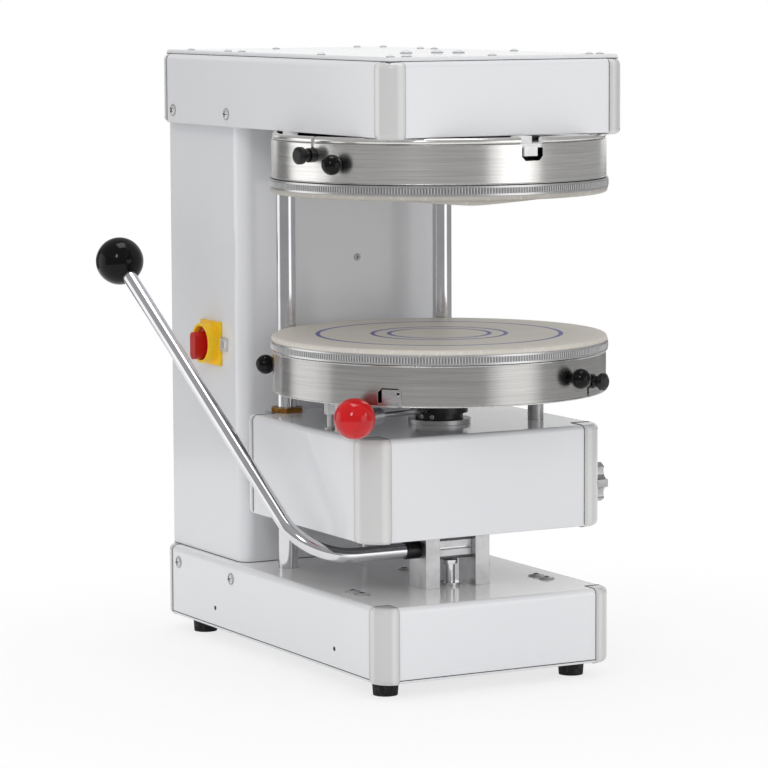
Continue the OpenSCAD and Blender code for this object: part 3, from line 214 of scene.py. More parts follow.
class Wire:
    """A node socket; arithmetic on it adds Math nodes."""

    def __init__(self, graph, socket):
        self.graph = graph
        self.socket = socket

    def maths(self, operation, *terms):
        return self.graph.add("ShaderNodeMath", dict(enumerate(terms)), operation=operation)

    def __add__(self, other):
        return self.maths("ADD", self, other)

    __radd__ = __add__

    def __sub__(self, other):
        return self.maths("SUBTRACT", self, other)

    def __rsub__(self, other):
        return self.maths("SUBTRACT", other, self)

    def __mul__(self, other):
        return self.maths("MULTIPLY", self, other)

    def __truediv__(self, other):
        return self.maths("DIVIDE", self, other)

    def __pow__(self, other):
        return self.maths("POWER", self, other)

    def __abs__(self):
        return self.maths("ABSOLUTE", self)


class Graph:
    """A node tree built node by node."""

    def __init__(self, tree):
        self.tree = tree
        tree.nodes.clear()

    def feed(self, socket, value):
        """Link a wire, or each wire of a list, to a socket, or set the socket's value."""
        for item in value if isinstance(value, list) else [value]:
            if isinstance(item, Wire):
                self.tree.links.new(item.socket, socket)
            else:
                socket.default_value = item

    def add(self, kind, sockets=None, out=0, **settings):
        """A node of that kind with its settings, then its sockets; gives the chosen output."""
        node = self.tree.nodes.new(kind)
        for key, value in settings.items():
            setattr(node, key, value)
        for key, value in (sockets or {}).items():
            self.feed(node.inputs[key], value)
        return Wire(self, node.outputs[out])

    def close(self, kind, surface):
        """The output node of a material or a world."""
        end = self.tree.nodes.new(kind)
        self.feed(end.inputs["Surface"], surface)
        return end

    def seen(self):
        """1 for camera, glossy and transmission rays, 0 for the rays that carry light."""
        rays = self.tree.nodes.new("ShaderNodeLightPath").outputs
        camera, glossy, clear = (
            Wire(self, rays[f"Is {kind} Ray"]) for kind in ("Camera", "Glossy", "Transmission"))
        return camera.maths("MAXIMUM", camera.maths("MAXIMUM", camera, glossy), clear)


def new_material(name):
    material = bpy.data.materials.new(name)
    material.use_nodes = True
    return material


class Bench(Graph):
    """A material with a Principled surface."""

    def __init__(self, name):
        self.material = new_material(name)
        super().__init__(self.material.node_tree)
        self.surface = self.tree.nodes.new("ShaderNodeBsdfPrincipled")
        self.out = self.close("ShaderNodeOutputMaterial", Wire(self, self.surface.outputs[0]))
        self.coords = self.add("ShaderNodeTexCoord", out="Object")

    def set(self, **sockets):
        """Values or links of the Principled surface, named with underscores."""
        for key, value in sockets.items():
            name = key.replace("_", " ").title().replace("Ior", "IOR")
            self.feed(self.surface.inputs[name], value)
        return self.material

    def centred(self, centre):
        """Object coordinates from a point of the part's frame."""
        return self.add("ShaderNodeVectorMath", {0: self.coords, 1: tuple(centre)}, operation="SUBTRACT")

    def parts(self, vector):
        """X, Y and Z of a vector."""
        node = self.add("ShaderNodeSeparateXYZ", {0: vector}).socket.node
        return [Wire(self, output) for output in node.outputs]

    def noise(self, scale, detail=2.0, roughness=0.5, vector=None):
        return self.add("ShaderNodeTexNoise", {
            "Vector": vector or self.coords, "Scale": scale, "Detail": detail, "Roughness": roughness})

    def streaks(self, detail, roughness, *scales):
        """Noise with its own scale along each axis."""
        vector = self.add("ShaderNodeMapping", {"Vector": self.coords, "Scale": scales})
        return self.noise(1, detail, roughness, vector)

    def wave(self, length, pitch):
        """Sine of a length, once in each pitch."""
        turn = length * (2 * math.pi / pitch)
        return turn.maths("SINE", turn)

    def ramp(self, value, low, high, start=0.0, end=1.0):
        """Smooth step of a value from low to high."""
        return self.add("ShaderNodeMapRange", {
            0: value, 1: low, 2: high, 3: start, 4: end}, interpolation_type="SMOOTHSTEP", clamp=True)

    def tint(self, share, first, second):
        """Mix of two colours."""
        def full(colour):
            return colour if isinstance(colour, Wire) else (*colour, 1)
        return self.add("ShaderNodeMix", {0: share, 6: full(first), 7: full(second)}, out=2,
                        data_type="RGBA", clamp_factor=True)

    def spread(self, pattern, low, high, colour, second, first=1.0):
        """A colour that runs from its first shade to its second as a pattern goes from low to high."""
        return self.tint(self.ramp(pattern, low, high), shade(colour, first), shade(colour, second))

    def edge(self, radius):
        """Normal rounded over the edges by a radius in millimetres, and how much of an edge a point is."""
        soft = self.add("ShaderNodeBevel", {"Radius": radius * MM}, samples=4)
        flat = self.add("ShaderNodeNewGeometry", out="Normal")
        along = self.add("ShaderNodeVectorMath", {0: soft, 1: flat}, out="Value", operation="DOT_PRODUCT")
        return soft, self.ramp(1 - along, 0.02, 0.3)

    def bump(self, height, strength, depth, normal=None):
        """Normal that follows a height, its depth in millimetres."""
        sockets = {"Strength": strength, "Distance": depth * MM, "Height": height}
        if normal:
            sockets["Normal"] = normal
        return self.add("ShaderNodeBump", sockets)


def shade(colour, share):
    return tuple(value * share for value in colour)


def colours():
    return bpy.context.scene.press_colours


def sizes():
    return bpy.context.scene.press_sizes


def enamel_finish(name, colour, painted_light_height=None):
    """Stoved gloss enamel, faint orange peel, handling marks; painted near white above a height, as painted
    light.
    """
    bench = Bench(name)
    mottle = bench.noise(6, 2)
    smudge = bench.noise(30, 3, 0.6)
    peel = bench.noise(900, 2)
    soft, edge_wear_and_highlight = bench.edge(1.2)
    base = bench.spread(mottle, 0.3, 0.75, colour, 0.985)
    # Painted light: from 1.5 mm below the given height upwards the enamel is mixed towards near white, a little
    # uneven by the smudge noise.
    if painted_light_height:
        height = bench.parts(bench.centred((0, 0, painted_light_height)))[2]
        base = bench.tint(bench.ramp(height, -1.5 * MM, 0) * (0.9 + smudge * 0.1), base, PAINTED_TOP_LIGHT)
    return bench.set(
        # Edges painted a brighter shade, partly as wear and partly as painted highlight.
        base_color=bench.tint(edge_wear_and_highlight * 0.3, base, shade(colour, 1.03)),
        roughness=0.17 + smudge * 0.06,
        coat_weight=0.35, coat_roughness=0.1, specular_ior_level=0.5,
        normal=bench.bump(peel, 0.02, 0.08, soft))


def trim_finish(name, colour, shell, radius):
    """Moulded gloss trim, flatter and greyer between two pale rounded edges: painted shade and highlight."""
    bench = Bench(name)
    low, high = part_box(shell)
    x, y, _ = bench.parts(bench.centred(middle(shell)))
    lean = (high[0] - low[0] - high[1] + low[1]) / 2
    across = abs(abs(x) - abs(y) - lean) / radius
    # Painted highlight and shade: bands near both edges of each trim are painted pale, the rest a greyer shade,
    # for light on the rounded profile.
    bead = bench.ramp(across, 0.5, 0.74) * (1 - bench.ramp(across, 0.82, 0.97))
    grain = bench.noise(1900, 2)
    soft, edge_wear_and_highlight = bench.edge(2.2)
    base = bench.tint(bead, shade(colour, 0.95), shade(colour, 1.12))
    return bench.set(
        # Edges painted a brighter shade, partly as wear and partly as painted highlight.
        base_color=bench.tint(edge_wear_and_highlight * 0.6, base, shade(colour, 1.12)),
        roughness=0.18 + grain * 0.06,
        coat_weight=0.45, coat_roughness=0.06, specular_ior_level=0.5,
        normal=bench.bump(grain, 0.02, 0.08, soft))


def brushed_drum_finish(name, share):
    """Stainless sheet brushed round the drum with fine and broad streaks; a share paints lit or shaded copies."""
    bench = Bench(name)
    colour = shade(colours().steel, share)
    fine = bench.streaks(3, 0.65, 14, 14, 2600)
    broad = bench.streaks(2, 0.5, 9, 9, 420)
    soft, edge_wear_and_highlight = bench.edge(0.5)
    streak = fine * 0.65 + broad * 0.35
    base = bench.spread(streak, 0.3, 0.7, colour, 1.06, 0.83)
    return bench.set(
        # Edges painted a brighter shade, partly as wear and partly as painted highlight.
        base_color=bench.tint(edge_wear_and_highlight * 0.5, base, shade(colour, 1.2)),
        metallic=1.0,
        roughness=0.17 + streak * 0.14,
        anisotropic=0.5, anisotropic_rotation=0.25,
        normal=bench.bump(streak, 0.12, 0.05, soft))


def chrome_finish(name, colour):
    """Hard chrome over a ground rod, with faint grinding marks."""
    bench = Bench(name)
    ground = bench.streaks(2, 0.5, 60, 60, 1500)
    haze = bench.noise(34, 3)
    soft, _ = bench.edge(0.5)
    return bench.set(
        base_color=bench.spread(haze, 0.3, 0.8, colour, 0.9),
        metallic=1.0,
        roughness=0.06 + ground * 0.05 + bench.ramp(haze, 0.5, 0.8) * 0.05,
        normal=bench.bump(ground, 0.03, 0.05, soft))


def turned_finish(name, share, gloss=0.26, pitch=1.0, metal=1.0):
    """Turned or milled metal in a shade of its colour, fine level tool lines; brighter edges: wear and painted
    highlight.
    """
    bench = Bench(name)
    colour = shade(colours().machined, share)
    lines = bench.streaks(2, 0.6, 90 * pitch, 90 * pitch, 2100 * pitch)
    cast = bench.noise(60, 4, 0.6)
    soft, edge_wear_and_highlight = bench.edge(0.6)
    base = bench.spread(cast, 0.35, 0.75, colour, 0.82)
    return bench.set(
        # Edges painted a brighter shade, partly as wear and partly as painted highlight.
        base_color=bench.tint(edge_wear_and_highlight * 0.6, base, shade(colour, 1.18)),
        metallic=metal,
        roughness=gloss + lines * 0.14 + cast * 0.05,
        normal=bench.bump(lines, 0.12, 0.08, soft))


def knurled_ring_finish(name, colour, low, high):
    """Turned ring whose ribbed band, between two heights, has painted shade in its grooves."""
    bench = Bench(name)
    height = bench.parts(bench.coords)[2]
    band = bench.ramp(height, low - 0.2 * MM, low) * (1 - bench.ramp(height, high, high + 0.2 * MM))
    lines = bench.streaks(2, 0.6, 30, 30, 2400)
    groove_shade_noise = bench.noise(130, 3)
    soft, edge_wear_and_highlight = bench.edge(0.5)
    base = bench.spread(lines, 0.3, 0.75, colour, 0.84)
    # Painted shade: the band between the ribs is darkened towards a deep shade of the colour, varied by a noise.
    base = bench.tint(band * (0.72 + groove_shade_noise * 0.25), base, shade(colour, 0.3))
    return bench.set(
        # Edges painted a brighter shade, partly as wear and partly as painted highlight.
        base_color=bench.tint(edge_wear_and_highlight * 0.5, base, shade(colour, 1.2)),
        metallic=1.0,
        roughness=0.2 + lines * 0.14 + band * 0.16,
        normal=bench.bump(lines, 0.1, 0.06, soft))


def plate_finish(name, colour, blue=None, rings=()):
    """Cream polymer with lathe rings, a little flour dust and, where given, printed guide rings."""
    bench = Bench(name)
    x, y, _ = bench.parts(bench.centred(AXIS))
    far = (x * x + y * y) ** 0.5
    mottle = bench.noise(24, 4, 0.6)
    dust = bench.noise(210, 3, 0.6)
    lathe = bench.wave(far, 0.9 * MM)
    soft, edge_wear_and_highlight = bench.edge(1.0)
    base = bench.spread(mottle, 0.3, 0.75, colour, 0.93)
    base = bench.tint(bench.ramp(dust, 0.52, 0.75) * 0.3, base, (0.86, 0.85, 0.83))
    # Edges painted a brighter shade, partly as wear and partly as painted highlight.
    base = bench.tint(edge_wear_and_highlight * 0.3, base, shade(colour, 1.1))
    for ring in rings:
        off = abs(far - ring) + (dust - 0.5) * (0.5 * MM)
        ink = 1 - bench.ramp(off, GUIDE_RING_HALF * 0.75, GUIDE_RING_HALF * 1.25)
        base = bench.tint(ink * (0.8 + mottle * 0.3), base, blue)
    return bench.set(
        base_color=base,
        roughness=0.36 + dust * 0.16,
        specular_ior_level=0.45,
        normal=bench.bump(lathe * 0.3 + dust, 0.08, 0.12, soft))


def gloss_ball_finish(name, colour, rough=0.07, shine=0.2):
    """Polished phenolic ball with hair scratches."""
    bench = Bench(name)
    scratch = bench.streaks(3, 0.7, 700, 130, 420)
    haze = bench.noise(70, 3)
    return bench.set(
        base_color=bench.spread(haze, 0.35, 0.75, colour, 0.8),
        roughness=rough + bench.ramp(scratch, 0.58, 0.8) * 0.14 + haze * 0.04,
        specular_ior_level=shine,
        normal=bench.bump(scratch, 0.02, 0.04))


def moulded_finish(name, colour, rough=0.36, grain_size=1400):
    """Moulded plastic with a spark-eroded grain; lighter edges: rubbing and painted highlight."""
    bench = Bench(name)
    grain = bench.noise(grain_size, 3, 0.6)
    flow = bench.noise(40, 3)
    soft, edge_wear_and_highlight = bench.edge(0.7)
    base = bench.spread(flow, 0.3, 0.75, colour, 0.82)
    # Lighter edge colour, painted on the edges partly as rubbing and partly as painted highlight.
    rubbed = tuple(value * 1.25 + 0.03 for value in colour)
    return bench.set(
        base_color=bench.tint(edge_wear_and_highlight * 0.55, base, rubbed),
        roughness=rough + grain * 0.18,
        specular_ior_level=0.45,
        normal=bench.bump(grain, 0.16, 0.15, soft))


def bronze_finish(name, colour):
    """Sintered bronze with oily stains, brighter on its edges."""
    bench = Bench(name)
    stain = bench.noise(120, 4, 0.6)
    pores = bench.noise(2600, 2)
    soft, edge_wear_and_highlight = bench.edge(0.6)
    base = bench.spread(stain, 0.35, 0.7, colour, 0.55)
    return bench.set(
        # Edges painted a brighter shade, partly as wear and partly as painted highlight.
        base_color=bench.tint(edge_wear_and_highlight * 0.7, base, shade(colour, 1.35)),
        metallic=1.0,
        roughness=0.26 + stain * 0.2,
        normal=bench.bump(pores, 0.12, 0.08, soft))


def rubber_finish(name, colour):
    """Matt rubber with a fine grain and pale dust."""
    bench = Bench(name)
    grain = bench.noise(1700, 3)
    dust = bench.noise(160, 4, 0.6)
    return bench.set(
        base_color=bench.tint(bench.ramp(dust, 0.5, 0.75) * 0.35, colour, (0.16, 0.155, 0.15)),
        roughness=0.62 + grain * 0.24,
        specular_ior_level=0.3,
        normal=bench.bump(grain, 0.25, 0.2))


def belt_finish(name, colour):
    """Ribbed drive belt with rubbed flanks."""
    bench = Bench(name)
    height = bench.parts(bench.coords)[2]
    rib = bench.wave(height, 2.2 * MM)
    dust = bench.noise(230, 3)
    return bench.set(
        base_color=bench.tint(bench.ramp(dust, 0.45, 0.75) * 0.4, colour, (0.1, 0.1, 0.1)),
        roughness=0.55 + dust * 0.25,
        normal=bench.bump(rib, 0.4, 0.4))


def motor_finish(name):
    """Hammered motor enamel."""
    bench = Bench(name)
    dents = bench.add("ShaderNodeTexVoronoi", {"Vector": bench.coords, "Scale": 320.0}, feature="SMOOTH_F1")
    cast = bench.noise(50, 3)
    return bench.set(
        base_color=bench.tint(cast, (0.08, 0.09, 0.1), (0.13, 0.14, 0.15)),
        roughness=0.3 + dents * 0.2,
        metallic=0.2,
        normal=bench.bump(dents, 0.3, 0.3))


def clear_finish(name):
    """Clear moulded plastic with faint flow lines."""
    bench = Bench(name)
    flow = bench.streaks(3, 0.6, 220, 220, 60)
    return bench.set(
        base_color=bench.tint(flow, (0.88, 0.9, 0.92), (0.97, 0.98, 0.98)),
        roughness=0.05 + flow * 0.08,
        alpha=0.42 + flow * 0.2,
        coat_weight=0.6, coat_roughness=0.03, ior=1.46,
        normal=bench.bump(flow, 0.05, 0.1))


def screw_finish(name, colour, recess=(0.02, 0.02, 0.021)):
    """Plated screw head with painted shade on its cross and seat ring."""
    bench = Bench(name)
    painted_recess_shade = bench.add("ShaderNodeAttribute", out="Fac", attribute_name="recess")
    spin = bench.noise(900, 3)
    base = bench.spread(spin, 0.35, 0.75, colour, 0.8)
    return bench.set(
        # Painted shade: faces marked by the 'recess' attribute take the dark recess colour.
        base_color=bench.tint(painted_recess_shade, base, recess),
        metallic=0.5 - painted_recess_shade * 0.5,
        roughness=0.2 + spin * 0.16 + painted_recess_shade * 0.3,
        normal=bench.bump(spin, 0.06, 0.06))


def cap_finish(name, colour):
    """Painted screw cap with a soft gloss and painted shade in the joint round it."""
    bench = Bench(name)
    joint = bench.add("ShaderNodeAttribute", out="Fac", attribute_name="recess")
    peel = bench.noise(900, 2)
    base = bench.spread(peel, 0.35, 0.7, colour, 0.94)
    return bench.set(
        # Painted shade: the ring round the cap and its small cross, marked by the 'recess' attribute, are
        # darkened.
        base_color=bench.tint(joint, base, (0.12, 0.12, 0.12)),
        roughness=0.26 + peel * 0.12 + joint * 0.3,
        normal=bench.bump(peel, 0.08, 0.1))


def joint_finish(name, colour):
    """Sealing line with a slightly uneven surface."""
    bench = Bench(name)
    lump = bench.noise(300, 3)
    return bench.set(
        base_color=bench.spread(lump, 0.3, 0.75, colour, 0.6),
        roughness=0.5 + lump * 0.2,
        normal=bench.bump(lump, 0.1, 0.1))


def hem_finish(name, colour):
    """Bright rolled edge of the brushed sheet."""
    bench = Bench(name)
    scuff = bench.streaks(3, 0.6, 300, 300, 900)
    return bench.set(
        base_color=bench.spread(scuff, 0.35, 0.75, colour, 0.92, 1.15),
        metallic=1.0,
        roughness=0.2 + scuff * 0.16,
        normal=bench.bump(scuff, 0.05, 0.05))


def dress(material, *nodes):
    """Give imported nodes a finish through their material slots."""
    for node in nodes:
        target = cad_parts[node]
        if not target.material_slots:
            target.data.materials.append(material)
        for place in target.material_slots:
            place.material = material


def settle(piece, body):
    """Turn a piece's evaluated result into a plain mesh that rides on its body."""
    graph = bpy.context.evaluated_depsgraph_get()
    mesh = bpy.data.meshes.new_from_object(
        piece.evaluated_get(graph), preserve_all_data_layers=True, depsgraph=graph)
    piece.modifiers.clear()
    if not mesh.polygons:
        raise RuntimeError(f"{piece.name} came out empty")
    form = bmesh.new()
    form.from_mesh(mesh)
    bmesh.ops.remove_doubles(form, verts=form.verts, dist=WELD_DISTANCE)
    bmesh.ops.recalc_face_normals(form, faces=form.faces)
    form.to_mesh(mesh)
    form.free()
    mesh.shade_smooth()
    mesh.set_sharp_from_angle(angle=SHARP_ANGLE)
    mesh.name = piece.name
    piece.data = mesh
    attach(piece, body)


class Weave(Graph):
    """A geometry node tree with named inputs."""

    def __init__(self, name, *inputs):
        super().__init__(bpy.data.node_groups.new(name, "GeometryNodeTree"))
        for title, kind, default in (*inputs, ("Material", "Material", None)):
            socket = self.tree.interface.new_socket(title, in_out="INPUT", socket_type=f"NodeSocket{kind}")
            if default is not None:
                socket.default_value = default
        self.tree.interface.new_socket("Geometry", in_out="OUTPUT", socket_type="NodeSocketGeometry")
        self.given = self.tree.nodes.new("NodeGroupInput")
        self.end = self.tree.nodes.new("NodeGroupOutput")

    def input(self, title):
        return Wire(self, self.given.outputs[title])

    def vector(self, x, y, z):
        return self.add("ShaderNodeCombineXYZ", {0: x, 1: y, 2: z})

    def finish(self, geometry):
        """Close the tree: real instances, then the material."""
        real = self.add("GeometryNodeRealizeInstances", {0: geometry})
        coated = self.add("GeometryNodeSetMaterial", {"Geometry": real, "Material": self.input("Material")})
        self.feed(self.end.inputs[0], coated)
        return self

    def grow(self, piece, body, slot, values):
        """Use the tree on a piece, its inputs set by identifier, and settle the result."""
        use = piece.modifiers.new(self.tree.name, "NODES")
        use.node_group = self.tree
        for item in self.tree.interface.items_tree:
            if item.item_type == "SOCKET" and item.in_out == "INPUT" and item.name in values:
                use[item.identifier] = values[item.name]
        settle(piece, body)


def ribs_weave():
    """Upright half-round ribs in a circle about a centre."""
    weave = Weave(
        "Ribs in a circle", ("Count", "Int", 360), ("Radius", "Float", 0.1), ("Width", "Float", 0.001),
        ("Height", "Float", 0.005), ("Depth", "Float", 0.0005), ("Centre", "Vector", None),
        ("Turn", "Vector", None))
    circle = weave.add("GeometryNodeMeshCircle", {
        "Vertices": weave.input("Count"), "Radius": weave.input("Radius")})
    rod = weave.add("GeometryNodeMeshCylinder", {
        "Vertices": 8, "Radius": 0.5, "Depth": 1.0}, fill_type="NGON")
    size = weave.vector(weave.input("Depth") * 2.0, weave.input("Width"), weave.input("Height"))
    rib = weave.add("GeometryNodeTransform", {"Geometry": rod, "Scale": size})
    place = weave.add("GeometryNodeInputPosition")
    aim = weave.add("FunctionNodeAlignRotationToVector", {"Vector": place}, axis="X", pivot_axis="Z")
    row = weave.add("GeometryNodeInstanceOnPoints", {
        "Points": circle, "Instance": rib, "Rotation": aim})
    return weave.finish(weave.add("GeometryNodeTransform", {
        "Geometry": row, "Translation": weave.input("Centre"), "Rotation": weave.input("Turn")}))


def screws_weave():
    """Domed heads on points that carry their aim and size; painted shade on a foot ring and on a cross for the
    recess.
    """
    weave = Weave(
        "Screw heads", ("Geometry", "Geometry", None), ("Height Share", "Float", 0.24),
        ("Recess Share", "Float", 0.55), ("Recess Width Share", "Float", 0.12), ("Rim Shade", "Float", 0.4),
        ("Seed", "Int", SPIN_SEED))
    height = weave.input("Height Share")

    # The 'recess' value is each face's share of painted shade: 1 on the cross, the rim share on the foot ring, 0
    # on the dome.
    def marked(geometry, shade_share):
        return weave.add("GeometryNodeStoreNamedAttribute", {
            "Geometry": geometry, "Name": "recess", "Value": shade_share}, data_type="FLOAT", domain="FACE")

    ball = weave.add("GeometryNodeMeshUVSphere", {"Segments": 28, "Rings": 14, "Radius": 0.5})
    dome = weave.add("GeometryNodeTransform", {
        "Geometry": ball, "Scale": weave.vector(0.96, 0.96, height * 2.0)})
    rim = weave.add("GeometryNodeMeshCylinder", {
        "Vertices": 28, "Radius": 0.56, "Depth": height * 0.7}, fill_type="NGON")
    arms = []
    for turn in (0.0, math.pi / 2):
        arm = weave.add("GeometryNodeMeshCube", {"Size": weave.vector(
            weave.input("Recess Share"), weave.input("Recess Width Share"), height * 0.3)})
        arms.append(weave.add("GeometryNodeTransform", {
            "Geometry": arm, "Rotation": (0, 0, turn), "Translation": weave.vector(0.0, 0.0, height * 0.87)}))
    cross = weave.add("GeometryNodeJoinGeometry", {0: arms})
    head = weave.add("GeometryNodeJoinGeometry", {
        0: [marked(dome, 0.0), marked(cross, 1.0), marked(rim, weave.input("Rim Shade"))]})
    aim = weave.add("GeometryNodeInputNamedAttribute", {"Name": "aim"}, data_type="FLOAT_VECTOR")
    wide = weave.add("GeometryNodeInputNamedAttribute", {"Name": "wide"}, data_type="FLOAT")
    upright = weave.add("FunctionNodeAlignRotationToVector", {"Vector": aim}, axis="Z")
    spin = weave.add("FunctionNodeRandomValue", {
        2: 0.0, 3: math.pi, "Seed": weave.input("Seed")}, out=1, data_type="FLOAT")
    twist = weave.add("FunctionNodeAxisAngleToRotation", {"Axis": (0, 0, 1), "Angle": spin})
    turned = weave.add("FunctionNodeRotateRotation", {
        "Rotation": upright, "Rotate By": twist}, rotation_space="LOCAL")
    return weave.finish(weave.add("GeometryNodeInstanceOnPoints", {
        "Points": weave.input("Geometry"), "Instance": head, "Rotation": turned, "Scale": wide}))


def bead_weave():
    """Round bead along the edges of a path."""
    weave = Weave("Bead along a path", ("Geometry", "Geometry", None), ("Bead Radius", "Float", 0.0005))
    path = weave.add("GeometryNodeMeshToCurve", {"Mesh": weave.input("Geometry")})
    section = weave.add("GeometryNodeCurvePrimitiveCircle", {
        "Resolution": 16, "Radius": weave.input("Bead Radius")})
    return weave.finish(weave.add("GeometryNodeCurveToMesh", {
        "Curve": path, "Profile Curve": section, "Fill Caps": True}))


def mesh_object(name, points=(), edges=(), faces=()):
    """A new object at the origin with that mesh."""
    mesh = bpy.data.meshes.new(name)
    mesh.from_pydata([tuple(point) for point in points], edges, faces)
    piece = bpy.data.objects.new(name, mesh)
    bpy.context.scene.collection.objects.link(piece)
    return piece


def bead_run(name, paths, radius, material, body, slot):
    """Beads along open paths of points in millimetres."""
    points, edges = [], []
    for path in paths:
        start = len(points)
        points += [spot(*point) for point in path]
        edges += [(start + i, start + i + 1) for i in range(len(path) - 1)]
    bead_weave().grow(mesh_object(name, points, edges), body, slot, {
        "Bead Radius": radius, "Material": material})


def round_the_drum(radius, z, start=0, end=360, steps=180):
    """Arc about the plate axis, in millimetres."""
    turns = (math.radians(start + (end - start) * i / steps) for i in range(steps + 1))
    return [(radius * math.sin(turn), -radius * math.cos(turn), z) for turn in turns]


def broken_ring(radius, z, gaps):
    """Arcs about the plate axis between gaps: (direction, start and end from it)."""
    edges = sorted((turn + start, turn + end) for turn, start, end in gaps)
    arcs = []
    for i, (_, end) in enumerate(edges):
        until = edges[(i + 1) % len(edges)][0] + (360 if i + 1 == len(edges) else 0)
        arcs.append(round_the_drum(radius, z, end, until, max(2, int((until - end) / 2))))
    return arcs


def screw_set(name, places, body, slot, material, height=None, recess=0.55, arm=0.12, rim=0.4):
    """Screw heads at places: (point in millimetres, aim, diameter in millimetres)."""
    points, aims, widths = zip(*places)
    piece = mesh_object(name, [spot(*point) for point in points])
    store = piece.data.attributes.new("aim", "FLOAT_VECTOR", "POINT")
    store.data.foreach_set("vector", [value for aim in aims for value in aim])
    store = piece.data.attributes.new("wide", "FLOAT", "POINT")
    store.data.foreach_set("value", [wide * MM for wide in widths])
    screws_weave().grow(piece, body, slot, {
        "Height Share": height or sizes().screw_height, "Recess Share": recess, "Recess Width Share": arm,
        "Rim Shade": rim, "Seed": SPIN_SEED, "Material": material})


def round_screw(turn, radius, height, wide):
    """Place, aim and diameter of a screw that points away from the plate axis."""
    x, y = math.sin(math.radians(turn)), -math.cos(math.radians(turn))
    return (x * radius, y * radius, height), (x, y, 0), wide


def quarter_bend(radius):
    """Inset and rise of seven points on a quarter round, in steps of 15 degrees."""
    turns = [math.radians(15 * i) for i in range(7)]
    return [(radius * (1 - math.cos(turn)), radius * math.sin(turn)) for turn in turns]


class PressOperator(bpy.types.Operator):
    """Base of the operators that finish the dough press."""
    bl_options = {"INTERNAL"}


class PRESS_OT_housings(PressOperator):
    """Enamel the sheet housings and finish their corner trims"""
    bl_idname = "press.housings"
    bl_label = "Housings"

    def execute(self, context):
        tint, size = colours(), sizes()
        dress(enamel_finish("Stoved enamel", tint.enamel), "column_cover", "column_back_panel", "head_shell",
              "head_lid", "carriage_shell")
        deck = extents("base_shell").top * MM
        # Painted light: the base takes a lighter copy of the housing enamel, and its top above the deck is
        # painted near white.
        dress(enamel_finish("Stoved enamel, base", shade(tint.enamel, 1.06), deck), "base_shell")
        for part, radius in (
                ("base", size.trim_radius), ("head", size.trim_radius), ("carriage", size.carriage_trim_radius)):
            dress(trim_finish(f"Moulded trim, {part}", tint.trim, f"{part}_shell", radius),
                  f"{part}_corner_trims")
        dress(rubber_finish("Foot rubber", tint.rubber), "rubber_feet")
        return {"FINISHED"}


class PRESS_OT_drums(PressOperator):
    """Finish the skirts, knurled rings and press plates of the two drums"""
    bl_idname = "press.drums"
    bl_label = "Drums"

    def execute(self, context):
        # Painted light and shade: the upper skirt is a lighter and the lower skirt a darker copy of the same
        # brushed steel.
        dress(brushed_drum_finish("Brushed skirt, upper", 1.4), "upper_skirt")
        dress(brushed_drum_finish("Brushed skirt, lower", 0.85), "lower_skirt")
        tint, half = colours(), sizes().rib_height / 2
        for side in ("upper", "lower"):
            ring = f"{side}_knurled_ring"
            height = middle(ring).z
            dress(knurled_ring_finish(
                f"Knurled ring, {side}", shade(tint.machined, 1.25), height - half, height + half), ring)
        reach = extents("lower_press_plate").side * MM
        rings = [reach * share for share in GUIDE_RING_SHARES]
        dress(plate_finish("Press plate with guide rings", tint.cream, tint.guide_blue, rings),
              "lower_press_plate")
        # Painted shade: the upper press plate is a darker copy of the same cream polymer.
        dress(plate_finish("Press plate", shade(tint.cream, 0.7)), "upper_press_plate")
        dress(gloss_ball_finish("Black ball", tint.black), "upper_ball_knobs", "lower_ball_knobs", "lever_ball")
        dress(moulded_finish("Plunger plastic", tint.black, 0.3, 1800), "upper_plunger", "lower_plunger",
              "upper_plunger_bush", "lower_plunger_bush")
        # Painted light: the upper carrier is a much lighter copy of the machined metal, lightened against the
        # shade under the head.
        dress(turned_finish("Carrier plate, upper", 1.6, 0.36, metal=0.2), "upper_carrier")
        dress(turned_finish("Carrier plate, lower", 1.05, 0.16), "lower_carrier")
        return {"FINISHED"}


class PRESS_OT_metalwork(PressOperator):
    """Finish the chromed, turned, milled and bronze pieces"""
    bl_idname = "press.metalwork"
    bl_label = "Metalwork"

    def execute(self, context):
        tint = colours()
        dress(chrome_finish("Hard chrome", tint.chrome), "guide_columns", "lever_rod", "red_ball_rod",
              "follower_pin", "down_stop_screw", "steady_post")
        dress(turned_finish("Turned metal", 1.0), "carrier_posts", "block_post", "hub_ring",
              "upper_spindle", "lower_turntable", "lower_sleeve", "follower_roller")
        dress(turned_finish("Milled pillar", 1.2, 0.3, 0.8), "shaft_pillars", "lift_cam")
        dress(turned_finish("Frame plate", 0.7, 0.36, 0.6), "base_chassis", "carriage_frame", "head_frame")
        dress(turned_finish("Bearing steel", 1.02, 0.14, 1.4), "spindle_bearings", "lower_bearing")
        dress(turned_finish("Pulley metal", 0.9, 0.3, 1.0), "spindle_pulley", "motor_pulley")
        dress(bronze_finish("Bush bronze", tint.bronze), "guide_bushes")
        return {"FINISHED"}


